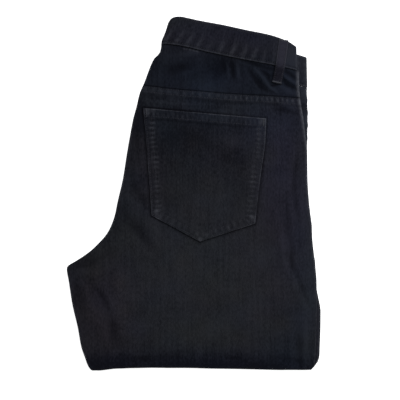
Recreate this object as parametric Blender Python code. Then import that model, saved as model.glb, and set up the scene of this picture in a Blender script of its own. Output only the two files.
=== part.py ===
"""Black denim jeans, folded in half and then up behind themselves, as they lie on a surface.

The wearer's right back half faces up: waistband, belt loop, yoke, back panel and pocket.
Under it lie the right front panel, the left half of the seat and the legs, which turn up
at the lower fold, run back under the seat and turn in again just below the waistband.
X runs from the inseam to the side seam, Y from the lower fold to the waist, Z up.
Sizes are in millimetres until each mesh is made.
"""

import math

import bpy
import numpy as np

MILLIMETRE = 0.001

# Cloth, and the room between one layer and the next.
CLOTH = 1.4
SEAM_GAP = 0.3
LAYER_GAP = 0.35
HALF_GAP = 0.7

# A flattened leg is two cloth walls with some air between them.
LEG_TUBE = 4.0
TUBE_RADIUS = LEG_TUBE / 2
FRONT_DROP = 0.15
FAR_TUBE = 3.6
FAR_RADIUS = FAR_TUBE / 2
UPPER_STACK = LEG_TUBE + HALF_GAP + FAR_TUBE
CORE_DEPTH = LEG_TUBE + HALF_GAP

# The upper layers hang over the folded legs and sink to the floor beyond them.
TIP_LIFT = 0.5
HANG_REACH = 55.0
HANG_SET_BACK = 8.0

# Waistband.
BAND_WALL = 2.4
BAND_LEVELS = (8.6, 5.45, 2.4, -0.4)
BAND_NEAR_WIDTH = 182.0
BAND_FAR_WIDTH = 195.0
BAND_EDGE = 0.7

# Belt loop, yoke seam and pocket.
LOOP_WIDTH = 12.5
LOOP_WALL = 2.0
LOOP_BEVEL = 0.35
FELL_WIDTH = 9.2
FELL_RISE = 0.8
POCKET_HEM = 12.0
POCKET_HEM_RISE = 0.7
POCKET_TURN_IN = 15.0
POCKET_TURN_IN_RISE = 0.45
FAR_STRIP = 22.0
STRIP_END = 45.0
STRIP_DROP = 0.2

# Lower fold: how far back the turn starts above and below, and how full its nose is.
NOSE_ABOVE = 34.0
NOSE_BELOW = 18.0
NOSE_FLAT = 0.6
NOSE_FULL = 0.72
UNDER_TURN_START = 116.0
UNDER_TURN_END = 133.0
UNDER_TURN_HEIGHT = 6.3

# Outline of the upper (right) half: y, left x, right x.
NEAR_OUTLINE = (
    (-234.0, -134.6, 155.1),
    (-231.3, -137.3, 157.1),
    (-225.4, -140.1, 159.7),
    (-217.5, -142.7, 160.4),
    (-201.6, -148.1, 161.0),
    (-177.9, -152.5, 161.7),
    (-146.2, -160.1, 162.4),
    (-114.5, -165.1, 162.1),
    (-98.7, -167.6, 160.8),
    (-95.4, -166.2, 160.6),
    (-90.8, -158.8, 160.4),
    (-82.8, -146.0, 159.1),
    (-74.9, -135.3, 158.1),
    (-67.0, -127.0, 157.2),
    (-54.5, -115.5, 156.2),
    (-43.2, -109.0, 155.9),
    (-27.4, -103.4, 153.9),
    (-11.6, -100.2, 152.1),
    (20.0, -92.9, 150.1),
    (51.8, -87.9, 149.7),
    (75.6, -83.8, 147.2),
    (99.3, -79.3, 144.5),
    (115.2, -75.0, 141.9),
    (131.0, -71.4, 139.9),
    (146.8, -64.9, 139.3),
    (162.7, -59.1, 139.3),
    (170.6, -56.0, 138.6),
    (178.5, -51.9, 137.9),
    (185.8, -44.7, 137.7),
    (193.7, -42.6, 137.3),
)

# Right edge of the far (left) half, which shows past the upper one: y, x.
FAR_EDGE = (
    (-231.3, 157.7),
    (-225.4, 162.8),
    (-216.8, 164.3),
    (-201.0, 165.4),
    (-177.2, 166.3),
    (-154.1, 166.5),
    (-146.2, 165.4),
    (-137.6, 163.8),
    (-114.5, 161.4),
    (-74.2, 157.5),
    (-43.2, 155.1),
    (-10.9, 151.1),
    (20.8, 149.4),
    (57.8, 149.7),
    (100.0, 150.6),
    (140.9, 149.6),
    (180.0, 148.5),
)

# The legs where they run back under the seat, tapering to the second fold: y, left x, right x.
UNDER_OUTLINE = (
    (-233.3, -134.6, 157.1),
    (-225.4, -137.3, 163.0),
    (-217.5, -135.3, 165.0),
    (-201.6, -130.7, 166.2),
    (-177.9, -124.1, 167.4),
    (-154.1, -118.1, 167.6),
    (-140.2, -114.8, 165.1),
    (-120.5, -110.2, 162.4),
    (-8.2, -83.8, 151.1),
    (110.6, -56.1, 143.2),
    (133.0, -50.8, 140.6),
)

# Height of what the upper layers rest on, along the middle: y, height.
SUPPORT = (
    (-200.0, 10.2),
    (-185.0, 10.8),
    (-80.0, 10.8),
    (-55.0, 11.3),
    (-30.0, 12.8),
    (-5.0, 13.5),
    (60.0, 13.5),
    (100.0, 13.0),
    (117.0, 11.3),
    (130.0, 9.0),
    (140.0, 6.5),
    (155.0, 4.0),
    (168.0, 3.0),
    (234.0, 3.0),
)

# Lines across the garment: x, y.
FOLD_LINE = (
    (-139.3, -232.0),
    (-134.0, -233.6),
    (-126.0, -233.6),
    (-104.9, -231.6),
    (-70.6, -230.5),
    (-31.0, -230.1),
    (37.6, -231.1),
    (77.2, -231.9),
    (127.4, -232.9),
    (156.4, -232.5),
    (163.0, -229.0),
)
YOKE_SEAM = (
    (-71.9, 143.6),
    (-31.0, 138.3),
    (8.6, 134.3),
    (48.2, 130.3),
    (94.4, 127.7),
    (140.6, 124.4),
)
BAND_LOW = ((-42.2, 193.7), (2.0, 191.7), (48.2, 180.5), (94.4, 172.6), (136.6, 162.0))
BAND_TOP = (
    (-25.1, 233.6),
    (6.6, 228.4),
    (38.3, 222.9),
    (70.0, 216.0),
    (101.6, 209.4),
    (124.7, 201.0),
    (136.0, 193.7),
)
FAR_BAND_LOW = ((-42.2, 193.7), (149.2, 140.2))
FAR_BAND_TOP = ((-25.1, 233.6), (148.5, 179.8))
FAR_YOKE_SEAM = ((-42.2, 146.0), (149.2, 111.0))

# Largest creases: start x, start y, end x, end y, half width, depth.
CREASES = (
    (-110.0, -112.0, -120.0, -172.0, 13.0, 0.85),
    (85.0, 167.0, 98.0, 150.0, 6.5, 0.8),
    (81.0, 157.0, 105.0, 130.0, 7.0, 0.8),
    (118.0, 160.0, 135.0, 138.0, 7.0, 0.85),
    (139.0, -177.0, 139.0, -226.0, 8.0, 0.8),
    (137.0, 12.0, 143.0, -127.0, 8.5, 0.6),
    (51.0, 177.0, 51.0, 153.0, 7.0, 0.6),
)

# Pocket corners, clockwise from the upper left: x, y.
POCKET_LEFT = ((-66.0, 112.5), (-60.6, 51.5), (-54.9, -28.7))
POCKET_RIGHT = ((95.7, 98.7), (93.9, 63.0), (88.7, 28.7), (80.9, -39.3))
POCKET_TIP = (8.6, -63.0)
POCKET_TIP_SHARE = 0.467

# Belt loop, from the top of the band to its bar on the yoke: x, y, underside over the yoke.
LOOP_PATH = (
    (119.2, 203.0, 2.0),
    (117.5, 191.0, 2.1),
    (115.8, 179.0, 2.2),
    (114.6, 170.0, 2.2),
    (113.4, 163.0, 2.0),
    (112.1, 157.0, 1.5),
    (110.9, 151.0, 0.8),
    (109.6, 145.5, 0.4),
)

# Rows of the panels: y of each row down the middle of the upper face, and along the floor.
PANEL_ROWS = (
    122.0, 120.8, 114.0, 103.0, 89.0, 73.0, 54.0, 33.0, 12.0, -6.0, -21.0, -34.0,
    -45.0, -54.5, -62.5, -70.5, -77.5, -84.0, -90.0, -94.7, -98.7, -103.5, -111.0,
    -124.0, -140.0, -156.0, -172.0, -185.0,
)
NOSE_STEPS = 5
FLOOR_ROWS = (-206.0, -180.0, -145.0, -100.0, -40.0, 30.0, 90.0)
TURN_STEPS = 4
SKEW_END = 50.0

# Where the columns lie between the edges: closer on the left, where the cloth hangs most.
SHARES = (
    0.0, 0.04, 0.08, 0.12, 0.165, 0.21, 0.26, 0.32, 0.4, 0.5, 0.6, 0.7, 0.79, 0.86, 0.93, 1.0,
)
YOKE_ROWS = 9


def columns(table):
    """The columns of a table, sorted by the first."""
    return np.array(sorted(table), float).T


def smooth(table, at, column=1):
    """A table read between its rows by a cubic that never overshoots them."""
    data = columns(table)
    keys, values = data[0], data[column]
    slope = np.diff(values) / np.diff(keys)
    tangent = np.zeros_like(values)
    same = slope[:-1] * slope[1:] > 0
    safe = np.where(same, slope[:-1] + slope[1:], 1.0)
    tangent[1:-1] = np.where(same, 2 * slope[:-1] * slope[1:] / safe, 0.0)
    tangent[0], tangent[-1] = slope[0], slope[-1]
    at = np.clip(at, keys[0], keys[-1])
    i = np.clip(np.searchsorted(keys, at, side="right") - 1, 0, len(slope) - 1)
    width = keys[i + 1] - keys[i]
    t = (at - keys[i]) / width
    return (
        (1 + 2 * t) * (1 - t) ** 2 * values[i]
        + t * (1 - t) ** 2 * width * tangent[i]
        + t * t * (3 - 2 * t) * values[i + 1]
        + t * t * (t - 1) * width * tangent[i + 1]
    )


def soft_step(t):
    t = np.clip(t, 0.0, 1.0)
    return t * t * (3 - 2 * t)


def near_left(y):
    return smooth(NEAR_OUTLINE, y, 1)


def near_right(y):
    return smooth(NEAR_OUTLINE, y, 2)


def under_left(y):
    return smooth(UNDER_OUTLINE, y, 1)


def under_right(y):
    return smooth(UNDER_OUTLINE, y, 2)


def far_left(y):
    return near_left(y) + FAR_RADIUS


def far_right(y):
    return smooth(FAR_EDGE, y)


def support(x, y):
    """Height of what the upper layers rest on: the folded legs, and the fall beyond their edges."""
    span = HANG_REACH + HANG_SET_BACK
    held = soft_step((x - under_left(y) + HANG_REACH) / span)
    held = held * soft_step((under_right(y) - x + HANG_REACH) / span)
    return TIP_LIFT + (smooth(SUPPORT, y) - TIP_LIFT) * held


def crease(x, y):
    """The fall of the upper face into the largest creases."""
    fall = 0.0
    for x0, y0, x1, y1, half_width, depth in CREASES:
        run_x, run_y = x1 - x0, y1 - y0
        along = ((x - x0) * run_x + (y - y0) * run_y) / (run_x**2 + run_y**2)
        along = np.clip(along, 0.0, 1.0)
        away = np.hypot(x - x0 - along * run_x, y - y0 - along * run_y)
        fall = fall + depth * (1 + np.cos(math.pi * np.clip(away / half_width, 0, 1))) / 2
    return fall


def upper_face(x, y):
    """Height of the upper face without its creases."""
    return support(x, y) + UPPER_STACK


def bezier(p0, p1, p2, p3, t):
    """Points and unit outward normals of a cubic in the YZ plane, each argument a pair of arrays."""
    y, z = (
        a * (1 - t) ** 3 + 3 * b * t * (1 - t) ** 2 + 3 * c * t * t * (1 - t) + d * t**3
        for a, b, c, d in zip(p0, p1, p2, p3)
    )
    run_y, run_z = (
        (b - a) * (1 - t) ** 2 + 2 * (c - b) * t * (1 - t) + (d - c) * t * t
        for a, b, c, d in zip(p0, p1, p2, p3)
    )
    length = np.hypot(run_y, run_z)
    return y, z, run_z / length, -run_y / length


def nose_row(x, t):
    """The lower fold's outer face: t from 0 to 1 above its tip, from 1 to 2 below."""
    tip = smooth(FOLD_LINE, x)
    start = tip + NOSE_ABOVE
    top = upper_face(x, start)
    middle = top / 2
    if t <= 1:
        return bezier(
            (start, top),
            (start - NOSE_FLAT * NOSE_ABOVE, top),
            (tip, middle + NOSE_FULL * (top - middle)),
            (tip, middle),
            t,
        )
    return bezier(
        (tip, middle),
        (tip, middle * (1 - NOSE_FULL)),
        (tip + NOSE_BELOW / 3, 0.0 * x),
        (tip + NOSE_BELOW, 0.0 * x),
        t - 1,
    )


def turn_row(x, t):
    """The second fold's outer face, from the floor up to its tip."""
    start, end = UNDER_TURN_START + 0 * x, UNDER_TURN_END + 0 * x
    height = UNDER_TURN_HEIGHT + 0 * x
    return bezier(
        (start, 0 * x),
        (start + (end - start) * NOSE_FLAT, 0 * x),
        (end, height * (1 - NOSE_FLAT)),
        (end, height),
        t,
    )


def slanted(line, y, middle_x=50.0, last=SKEW_END):
    """A row at y that is parallel to a line near it and level further down."""
    at_middle = float(smooth(line, middle_x))
    share = np.clip((y - last) / (at_middle - last), 0.0, 1.0)
    return lambda x: y + share * (smooth(line, x) - at_middle)


def upper_row(line_y):
    """A row on the upper face: y, z, and a normal that points straight up."""
    return lambda x: (line_y(x), upper_face(x, line_y(x)), 0 * x, 0 * x + 1)


def leg_rows(first_rows, rows):
    """(row, left edge, right edge) from the seam over the upper face, the fold and the floor."""
    found = [(upper_row(line_y), near_left, near_right) for line_y in first_rows]
    for y in rows:
        found.append((upper_row(slanted(YOKE_SEAM, y)), near_left, near_right))
    for step in range(2 * NOSE_STEPS + 1):
        t = step / NOSE_STEPS
        share = t / 2

        def left(y, share=share):
            return (1 - share) * near_left(y) + share * under_left(y)

        def right(y, share=share):
            return (1 - share) * near_right(y) + share * under_right(y)

        found.append((lambda x, t=t: nose_row(x, t), left, right))
    for y in FLOOR_ROWS:
        flat = (lambda x, y=y: (y + 0 * x, 0 * x, 0 * x, 0 * x - 1))
        found.append((flat, under_left, under_right))
    for step in range(TURN_STEPS + 1):
        t = step / TURN_STEPS
        found.append((lambda x, t=t: turn_row(x, t), under_left, under_right))
    return found


def tube_half(row, left, right, shares, depth_at, radius=TUBE_RADIUS):
    """One row of a half tube: rolled at both edges. depth_at(d) turns a depth into a place."""
    x_left = np.array(-100.0)
    x_right = np.array(140.0)
    for _ in range(12):
        x_left = left(row(x_left)[0])
        x_right = right(row(x_right)[0])
    x_left, x_right = float(x_left), float(x_right)
    points = []
    for offset in depth_at[0]:
        xs, depths = [], []
        for angle in (0.0, 45.0):
            turn = math.radians(angle)
            xs.append(x_left + radius - (radius - offset) * math.cos(turn))
            depths.append(radius - (radius - offset) * math.sin(turn))
        for share in shares:
            xs.append(x_left + radius + share * (x_right - x_left - 2 * radius))
            depths.append(offset)
        for angle in (45.0, 0.0):
            turn = math.radians(angle)
            xs.append(x_right - radius + (radius - offset) * math.cos(turn))
            depths.append(radius - (radius - offset) * math.sin(turn))
        xs = np.array(xs)
        depths = np.minimum(np.array(depths), radius - SEAM_GAP / 2)
        depths = depth_at[1](depths)
        y, z, normal_y, normal_z = row(xs)
        points.append(np.stack([xs, y - depths * normal_y, z - depths * normal_z], 1))
    return points


def wall_faces(rows, row_length):
    """Faces of a closed wall between an outer and an inner grid of the same size."""
    count = rows * row_length
    faces = []

    def at(side, i, j):
        return side * count + i * row_length + j

    for i in range(rows - 1):
        for j in range(row_length - 1):
            corners = [(i, j), (i + 1, j), (i + 1, j + 1), (i, j + 1)]
            faces.append([at(0, *c) for c in corners])
            faces.append([at(1, *c) for c in reversed(corners)])
    border = [(0, j) for j in range(row_length)]
    border += [(i, row_length - 1) for i in range(1, rows)]
    border += [(rows - 1, j) for j in range(row_length - 2, -1, -1)]
    border += [(i, 0) for i in range(rows - 2, 0, -1)]
    for one, two in zip(border, border[1:] + border[:1]):
        faces.append([at(0, *one), at(0, *two), at(1, *two), at(1, *one)])
    return faces


def denim(name, colour, roughness=0.92):
    material = bpy.data.materials.new(name)
    material.use_nodes = True
    shader = material.node_tree.nodes["Principled BSDF"]
    shader.inputs["Base Color"].default_value = (*colour, 1.0)
    shader.inputs["Roughness"].default_value = roughness
    shader.inputs["Metallic"].default_value = 0.0
    return material


def outward(points, faces):
    """The faces, turned round if the closed mesh that they make is inside out."""
    volume = 0.0
    for face in faces:
        a = points[face[0]]
        for k in range(1, len(face) - 1):
            volume += np.dot(a, np.cross(points[face[k]], points[face[k + 1]]))
    return faces if volume > 0 else [list(reversed(face)) for face in faces]


def add_solid(name, points, faces, colour):
    points = np.asarray(points, float)
    faces = outward(points, faces)
    mesh = bpy.data.meshes.new(name)
    mesh.from_pydata((points * MILLIMETRE).tolist(), [], faces)
    mesh.validate()
    mesh.update()
    mesh.shade_smooth()
    mesh.set_sharp_from_angle(angle=math.radians(50))
    mesh.materials.append(denim(name, colour))
    solid = bpy.data.objects.new(name, mesh)
    bpy.context.scene.collection.objects.link(solid)
    return solid


def wall(name, outer_rows, inner_rows, colour):
    row_length = len(outer_rows[0])
    points = np.concatenate([np.concatenate(outer_rows), np.concatenate(inner_rows)])
    return add_solid(name, points, wall_faces(len(outer_rows), row_length), colour)


def sink(points):
    """Points on the upper face, lowered into its creases."""
    points = points.copy()
    points[:, 2] -= crease(points[:, 0], points[:, 1])
    return points


def seam_row(line, offset):
    return lambda x: smooth(line, x) + offset


def between(high, low, share):
    return lambda x: (1 - share) * high(x) + share * low(x)


def make_back_panel(colour):
    """The right back panel: its felled top edge, the thigh, round the fold and along the floor."""
    first = [seam_row(YOKE_SEAM, -SEAM_GAP / 2), seam_row(YOKE_SEAM, -FELL_WIDTH / 2)]
    rows = leg_rows(first, PANEL_ROWS)
    upper = len(first) + len(PANEL_ROWS)
    outer, inner = [], []
    for i, (row, left, right) in enumerate(rows):
        out, inn = tube_half(row, left, right, SHARES, ((0.0, CLOTH), lambda d: d))
        if i < upper:
            out, inn = sink(out), sink(inn)
        if i <= len(first):
            out[:, 2] += FELL_RISE
        outer.append(out)
        inner.append(inn)
    return wall("back_panel", outer, inner, colour)


def make_front_panel(colour):
    """The right front panel, the under half of the same flattened leg."""
    high = seam_row(BAND_LOW, -3 * SEAM_GAP)
    low = seam_row(YOKE_SEAM, 0.0)
    first = [between(high, low, share) for share in np.linspace(0.0, 1.0, YOKE_ROWS)]
    rows = leg_rows(first, PANEL_ROWS[2:4] + PANEL_ROWS[4:10:2] + PANEL_ROWS[9:])
    outer, inner = [], []
    for row, left, right in rows:
        flip = (lambda d: LEG_TUBE + FRONT_DROP - d)
        out, inn = tube_half(row, left, right, SHARES, ((0.0, CLOTH), flip))
        outer.append(out)
        inner.append(inn)
    return wall("front_panel", outer, inner, colour)


def make_yoke(colour):
    """The right back yoke, between the waistband and the felled seam."""
    high = seam_row(BAND_LOW, -SEAM_GAP - 0.1)
    low = seam_row(YOKE_SEAM, SEAM_GAP / 2)
    outer, inner = [], []
    for share in np.linspace(0.0, 1.0, YOKE_ROWS):
        row = upper_row(between(high, low, share))
        shares = np.linspace(0.0, 1.0, 25)
        out, inn = tube_half(row, near_left, near_right, shares, ((0.0, CLOTH), lambda d: d))
        outer.append(sink(out))
        inner.append(sink(inn))
    return wall("back_yoke", outer, inner, colour)


def strip_rows(high, low, count):
    """A strip of the far half that shows past the upper one, rolled at the side fold."""
    outer, inner = [], []
    for share in np.linspace(0.0, 1.0, count):
        line_y = between(high, low, share)
        x_right = 149.0
        for _ in range(8):
            x_right = float(far_right(line_y(np.array(x_right))))
        for grid, offset in ((outer, 0.0), (inner, CLOTH)):
            xs = list(np.linspace(x_right - FAR_STRIP, x_right - FAR_RADIUS, 4))
            depths = [offset] * 4
            for angle in (45.0, 0.0):
                turn = math.radians(angle)
                xs.append(x_right - FAR_RADIUS + (FAR_RADIUS - offset) * math.cos(turn))
                depths.append(FAR_RADIUS - (FAR_RADIUS - offset) * math.sin(turn))
            xs = np.array(xs)
            depths = np.minimum(np.array(depths), FAR_RADIUS - SEAM_GAP / 2)
            depths += CORE_DEPTH + STRIP_DROP
            y = line_y(xs)
            grid.append(np.stack([xs, y, upper_face(xs, y) - depths], 1))
    return outer, inner


def make_far_pieces(yoke_colour, panel_colour):
    high = seam_row(FAR_BAND_LOW, -SEAM_GAP - 0.1)
    low = seam_row(FAR_YOKE_SEAM, SEAM_GAP / 2)
    wall("far_yoke", *strip_rows(high, low, 5), yoke_colour)
    high = seam_row(FAR_YOKE_SEAM, -SEAM_GAP / 2)
    wall("far_back_panel", *strip_rows(high, lambda x: 55.0 + 0 * x, 6), panel_colour)


def pocket_point(u, v):
    """A point of the pocket: u from its left side to its right, v from its mouth to its foot."""

    def side(corners, share):
        corners = np.array(corners)
        run = np.r_[0, np.cumsum(np.hypot(*np.diff(corners, axis=0).T))]
        at = share * run[-1]
        return np.array([np.interp(at, run, corners[:, 0]), np.interp(at, run, corners[:, 1])])

    left, right = side(POCKET_LEFT, v), side(POCKET_RIGHT, v)
    mouth = (1 - u) * np.array(POCKET_LEFT[0]) + u * np.array(POCKET_RIGHT[0])
    feet = (POCKET_LEFT[-1], POCKET_TIP, POCKET_RIGHT[-1])
    foot = np.array([np.interp(u, (0, POCKET_TIP_SHARE, 1), [p[k] for p in feet]) for k in (0, 1)])
    corners = (1 - v) * ((1 - u) * np.array(POCKET_LEFT[0]) + u * np.array(POCKET_RIGHT[0]))
    corners = corners + v * ((1 - u) * np.array(feet[0]) + u * np.array(feet[2]))
    return (1 - u) * left + u * right + (1 - v) * mouth + v * foot - corners


def make_pocket(colour):
    """The patch pocket: flat on the panel, thicker where its mouth and edges are turned in."""
    across = np.r_[
        np.linspace(0, POCKET_TIP_SHARE, 9), np.linspace(POCKET_TIP_SHARE, 1, 10)[1:]
    ]
    down = np.r_[0.0, 0.035, 0.068, 0.085, np.linspace(0.15, 0.86, 8), 0.905, 0.95, 1.0]
    edge_turn = POCKET_TURN_IN / 160.0
    outer, inner = [], []
    for v in down:
        flat = np.array([pocket_point(u, v) for u in across])
        x, y = flat[:, 0], flat[:, 1]
        under = upper_face(x, y) - crease(x, y) + LAYER_GAP
        border = np.minimum(np.minimum(across, 1 - across), 1 - v)
        rise = POCKET_TURN_IN_RISE * (1 - soft_step((border - edge_turn) / 0.03))
        if v < POCKET_HEM / 170.0:
            rise = np.maximum(rise, POCKET_HEM_RISE)
        outer.append(np.stack([x, y, under + CLOTH + rise], 1))
        inner.append(np.stack([x, y, under], 1))
    return wall("back_pocket", outer, inner, colour)


def band_path():
    """The waistband's folded loop, seen from its top edge: place along it, height, near share."""
    near_end = BAND_NEAR_WIDTH - (BAND_LEVELS[0] - BAND_LEVELS[1]) / 2 - BAND_WALL / 2
    far_end = BAND_FAR_WIDTH - (BAND_LEVELS[2] - BAND_LEVELS[3]) / 2 - BAND_WALL / 2
    start = (BAND_LEVELS[0] - BAND_LEVELS[3]) / 2 + BAND_WALL / 2
    path = []

    def layer(first, last, level, count, share):
        for place in np.linspace(first, last, count):
            path.append((place, level, share))

    def fold(place, top, bottom, side, count, shares):
        radius = abs(top - bottom) / 2
        for step in range(1, count):
            turn = math.pi * step / count
            share = shares[0] + (shares[1] - shares[0]) * (1 - math.cos(turn)) / 2
            height = (top + bottom) / 2 + (top - bottom) / 2 * math.cos(turn)
            path.append((place + side * radius * math.sin(turn), height, share))

    one, two, three, four = BAND_LEVELS
    layer(start, near_end, one, 15, 1.0)
    fold(near_end, one, two, 1, 5, (1.0, 1.0))
    layer(near_end, start, two, 13, 1.0)
    fold(start, two, three, -1, 5, (1.0, 0.0))
    layer(start, far_end, three, 13, 0.0)
    fold(far_end, three, four, 1, 5, (0.0, 0.0))
    layer(far_end, start, four, 13, 0.0)
    fold(start, four, one, -1, 7, (0.0, 1.0))
    return np.array(path)


def band_place(place, share, height):
    """Where a point of the band lies: between its seam and its top edge, on the near or far half."""

    def half(low, top, width):
        t = place / width
        low_x = low[0][0] + (low[-1][0] - low[0][0]) * t
        top_x = top[0][0] + (top[-1][0] - top[0][0]) * t
        x = (1 - height) * low_x + height * top_x
        y = (1 - height) * smooth(low, low_x) + height * smooth(top, top_x)
        return x, y

    near = half(BAND_LOW, BAND_TOP, BAND_NEAR_WIDTH)
    far = half(FAR_BAND_LOW, FAR_BAND_TOP, BAND_FAR_WIDTH)
    return [share * n + (1 - share) * f for n, f in zip(near, far)]


def make_waistband(colour):
    """The waistband: one closed loop, folded in four where the seat is folded in half."""
    path = band_path()
    ahead, behind = np.roll(path, -1, 0), np.roll(path, 1, 0)
    run = ahead[:, :2] - behind[:, :2]
    run /= np.hypot(run[:, 0], run[:, 1])[:, None]
    normal = np.stack([-run[:, 1], run[:, 0]], 1)
    rings = []
    stations = ((0.0, 1), (0.025, 0), (0.35, 0), (0.68, 0), (0.975, 0), (1.0, 1))
    for side in (1, -1):
        for height, at_edge in stations:
            half = BAND_WALL / 2 * (BAND_EDGE if at_edge else 1.0) * side
            place = path[:, 0] + half * normal[:, 0]
            x, y = band_place(place, path[:, 2], height)
            z = support(x, y) + path[:, 1] + half * normal[:, 1]
            rings.append(np.stack([x, y, z], 1))
    count = len(path)
    order = list(range(6)) + list(range(11, 5, -1))
    faces = []
    for one, two in zip(order, order[1:] + order[:1]):
        for j in range(count):
            k = (j + 1) % count
            faces.append([one * count + j, one * count + k, two * count + k, two * count + j])
    return add_solid("waistband", np.concatenate(rings), faces, colour)


def make_belt_loop(colour):
    """A turned strap from the band's top edge down to its bar on the yoke."""
    half, wall_height, bevel = LOOP_WIDTH / 2, LOOP_WALL, LOOP_BEVEL
    section = (
        (-half, bevel), (-half + bevel, 0), (half - bevel, 0), (half, bevel),
        (half, wall_height - bevel), (half - bevel, wall_height),
        (-half + bevel, wall_height), (-half, wall_height - bevel),
    )
    lines = np.array(LOOP_PATH)
    run = np.gradient(lines[:, :2], axis=0)
    run /= np.hypot(run[:, 0], run[:, 1])[:, None]
    points = []
    for (x, y, rise), (run_x, run_y) in zip(lines, run):
        for across, up in section:
            px, py = x - across * run_y, y + across * run_x
            points.append((px, py, upper_face(px, py) + rise + up))
    sides, rows = len(section), len(lines)
    faces = [list(range(sides)), list(range((rows - 1) * sides, rows * sides))[::-1]]
    for i in range(rows - 1):
        for j in range(sides):
            k = (j + 1) % sides
            faces.append([i * sides + k, i * sides + j, (i + 1) * sides + j, (i + 1) * sides + k])
    return add_solid("belt_loop", points, faces, colour)


def loft(name, sections, caps, colour):
    """A closed solid through rings of the same length. caps holds one end's faces, by ring place."""
    count = len(sections[0])
    last = (len(sections) - 1) * count
    faces = [list(cap) for cap in caps] + [[last + place for place in cap[::-1]] for cap in caps]
    for i in range(len(sections) - 1):
        for j in range(count):
            k = (j + 1) % count
            faces.append([i * count + k, i * count + j, (i + 1) * count + j, (i + 1) * count + k])
    return add_solid(name, np.concatenate(sections), faces, colour)


def turned_height(x, y, row, start, steps=24):
    """Height at y of a turning face moved in by the depth of the core."""
    line = []
    for t in np.linspace(start, start + 1, steps):
        face_y, face_z, normal_y, normal_z = row(np.array(float(x)), t)
        line.append((face_y - CORE_DEPTH * normal_y, face_z - CORE_DEPTH * normal_z))
    line = np.array(sorted((float(a), float(b)) for a, b in line))
    return float(np.interp(y, line[:, 0], line[:, 1]))


def core_top(x, y):
    """Top of the hidden layers: under the upper leg, following it into the lower fold."""
    if y < smooth(FOLD_LINE, x) + NOSE_ABOVE:
        return turned_height(x, y, nose_row, 0.0)
    return float(upper_face(x, y)) - CORE_DEPTH


def core_bottom(x, y):
    """Underside of the folded legs inside the leg that lies on the floor."""
    if y < smooth(FOLD_LINE, x) + NOSE_BELOW:
        return turned_height(x, y, nose_row, 1.0)
    if y > UNDER_TURN_START:
        return turned_height(x, y, turn_row, 0.0)
    return CORE_DEPTH


def seat_sections():
    """The far half of the seat and thigh: a flattened tube under the upper one."""
    sections = []
    core_rows = (150.0, 132.0, 117.0, 109.5, 101.0, 90.0, 70.0, 54.0, 46.0, 20.0, -10.0, -35.0, -50.0,
                 -62.0, -72.0, -80.0, -88.0, -95.0, -99.0, -106.0, -120.0, -145.0, -170.0, -198.0)
    lines = [seam_row(FAR_BAND_LOW, -SEAM_GAP - 0.2)]
    lines += [slanted(FAR_BAND_LOW, y, last=30.0) for y in core_rows]
    for share in (0.35, 0.65, 0.85, 1.0):
        reach = NOSE_ABOVE - (NOSE_ABOVE - CORE_DEPTH - 1.0) * share
        lines.append(lambda x, reach=reach: smooth(FOLD_LINE, x) + reach)
    for line_y in lines:
        x_left, x_right = -100.0, 149.0
        for _ in range(12):
            x_left = float(far_left(line_y(np.array(x_left))))
            x_right = float(far_right(line_y(np.array(x_right))))
        xs = [x_left, x_left + 0.25 * FAR_RADIUS, x_left + FAR_RADIUS]
        xs += [x_left + FAR_RADIUS + share * (x_right - x_left) for share in SHARES[1:-3]]
        xs += [x_right - FAR_STRIP - 1.0, x_right - FAR_STRIP / 2, x_right - FAR_RADIUS]
        xs += [x_right - 0.25 * FAR_RADIUS, x_right]
        full = [0.35, 0.75] + [1.0] * (len(xs) - 4) + [0.75, 0.35]
        upper, lower = [], []
        for x, level in zip(xs, full):
            y = float(line_y(np.array(x)))
            top = core_top(x, y)
            bottom = min(float(support(x, y)), top - 2.6)
            middle, half = (top + bottom) / 2, (top - bottom) / 2
            z = middle + half * level
            if y > STRIP_END and x > x_right - FAR_STRIP - 1.5:
                z = min(z, bottom + FAR_RADIUS - 2 * STRIP_DROP)
            upper.append((x, y, z))
            lower.append((x, y, middle - half * level))
        sections.append(np.array(upper + lower[::-1]))
    count = len(sections[0])
    caps = [[i, i + 1, count - 2 - i, count - 1 - i] for i in range(count // 2 - 1)]
    return sections, caps


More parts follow.
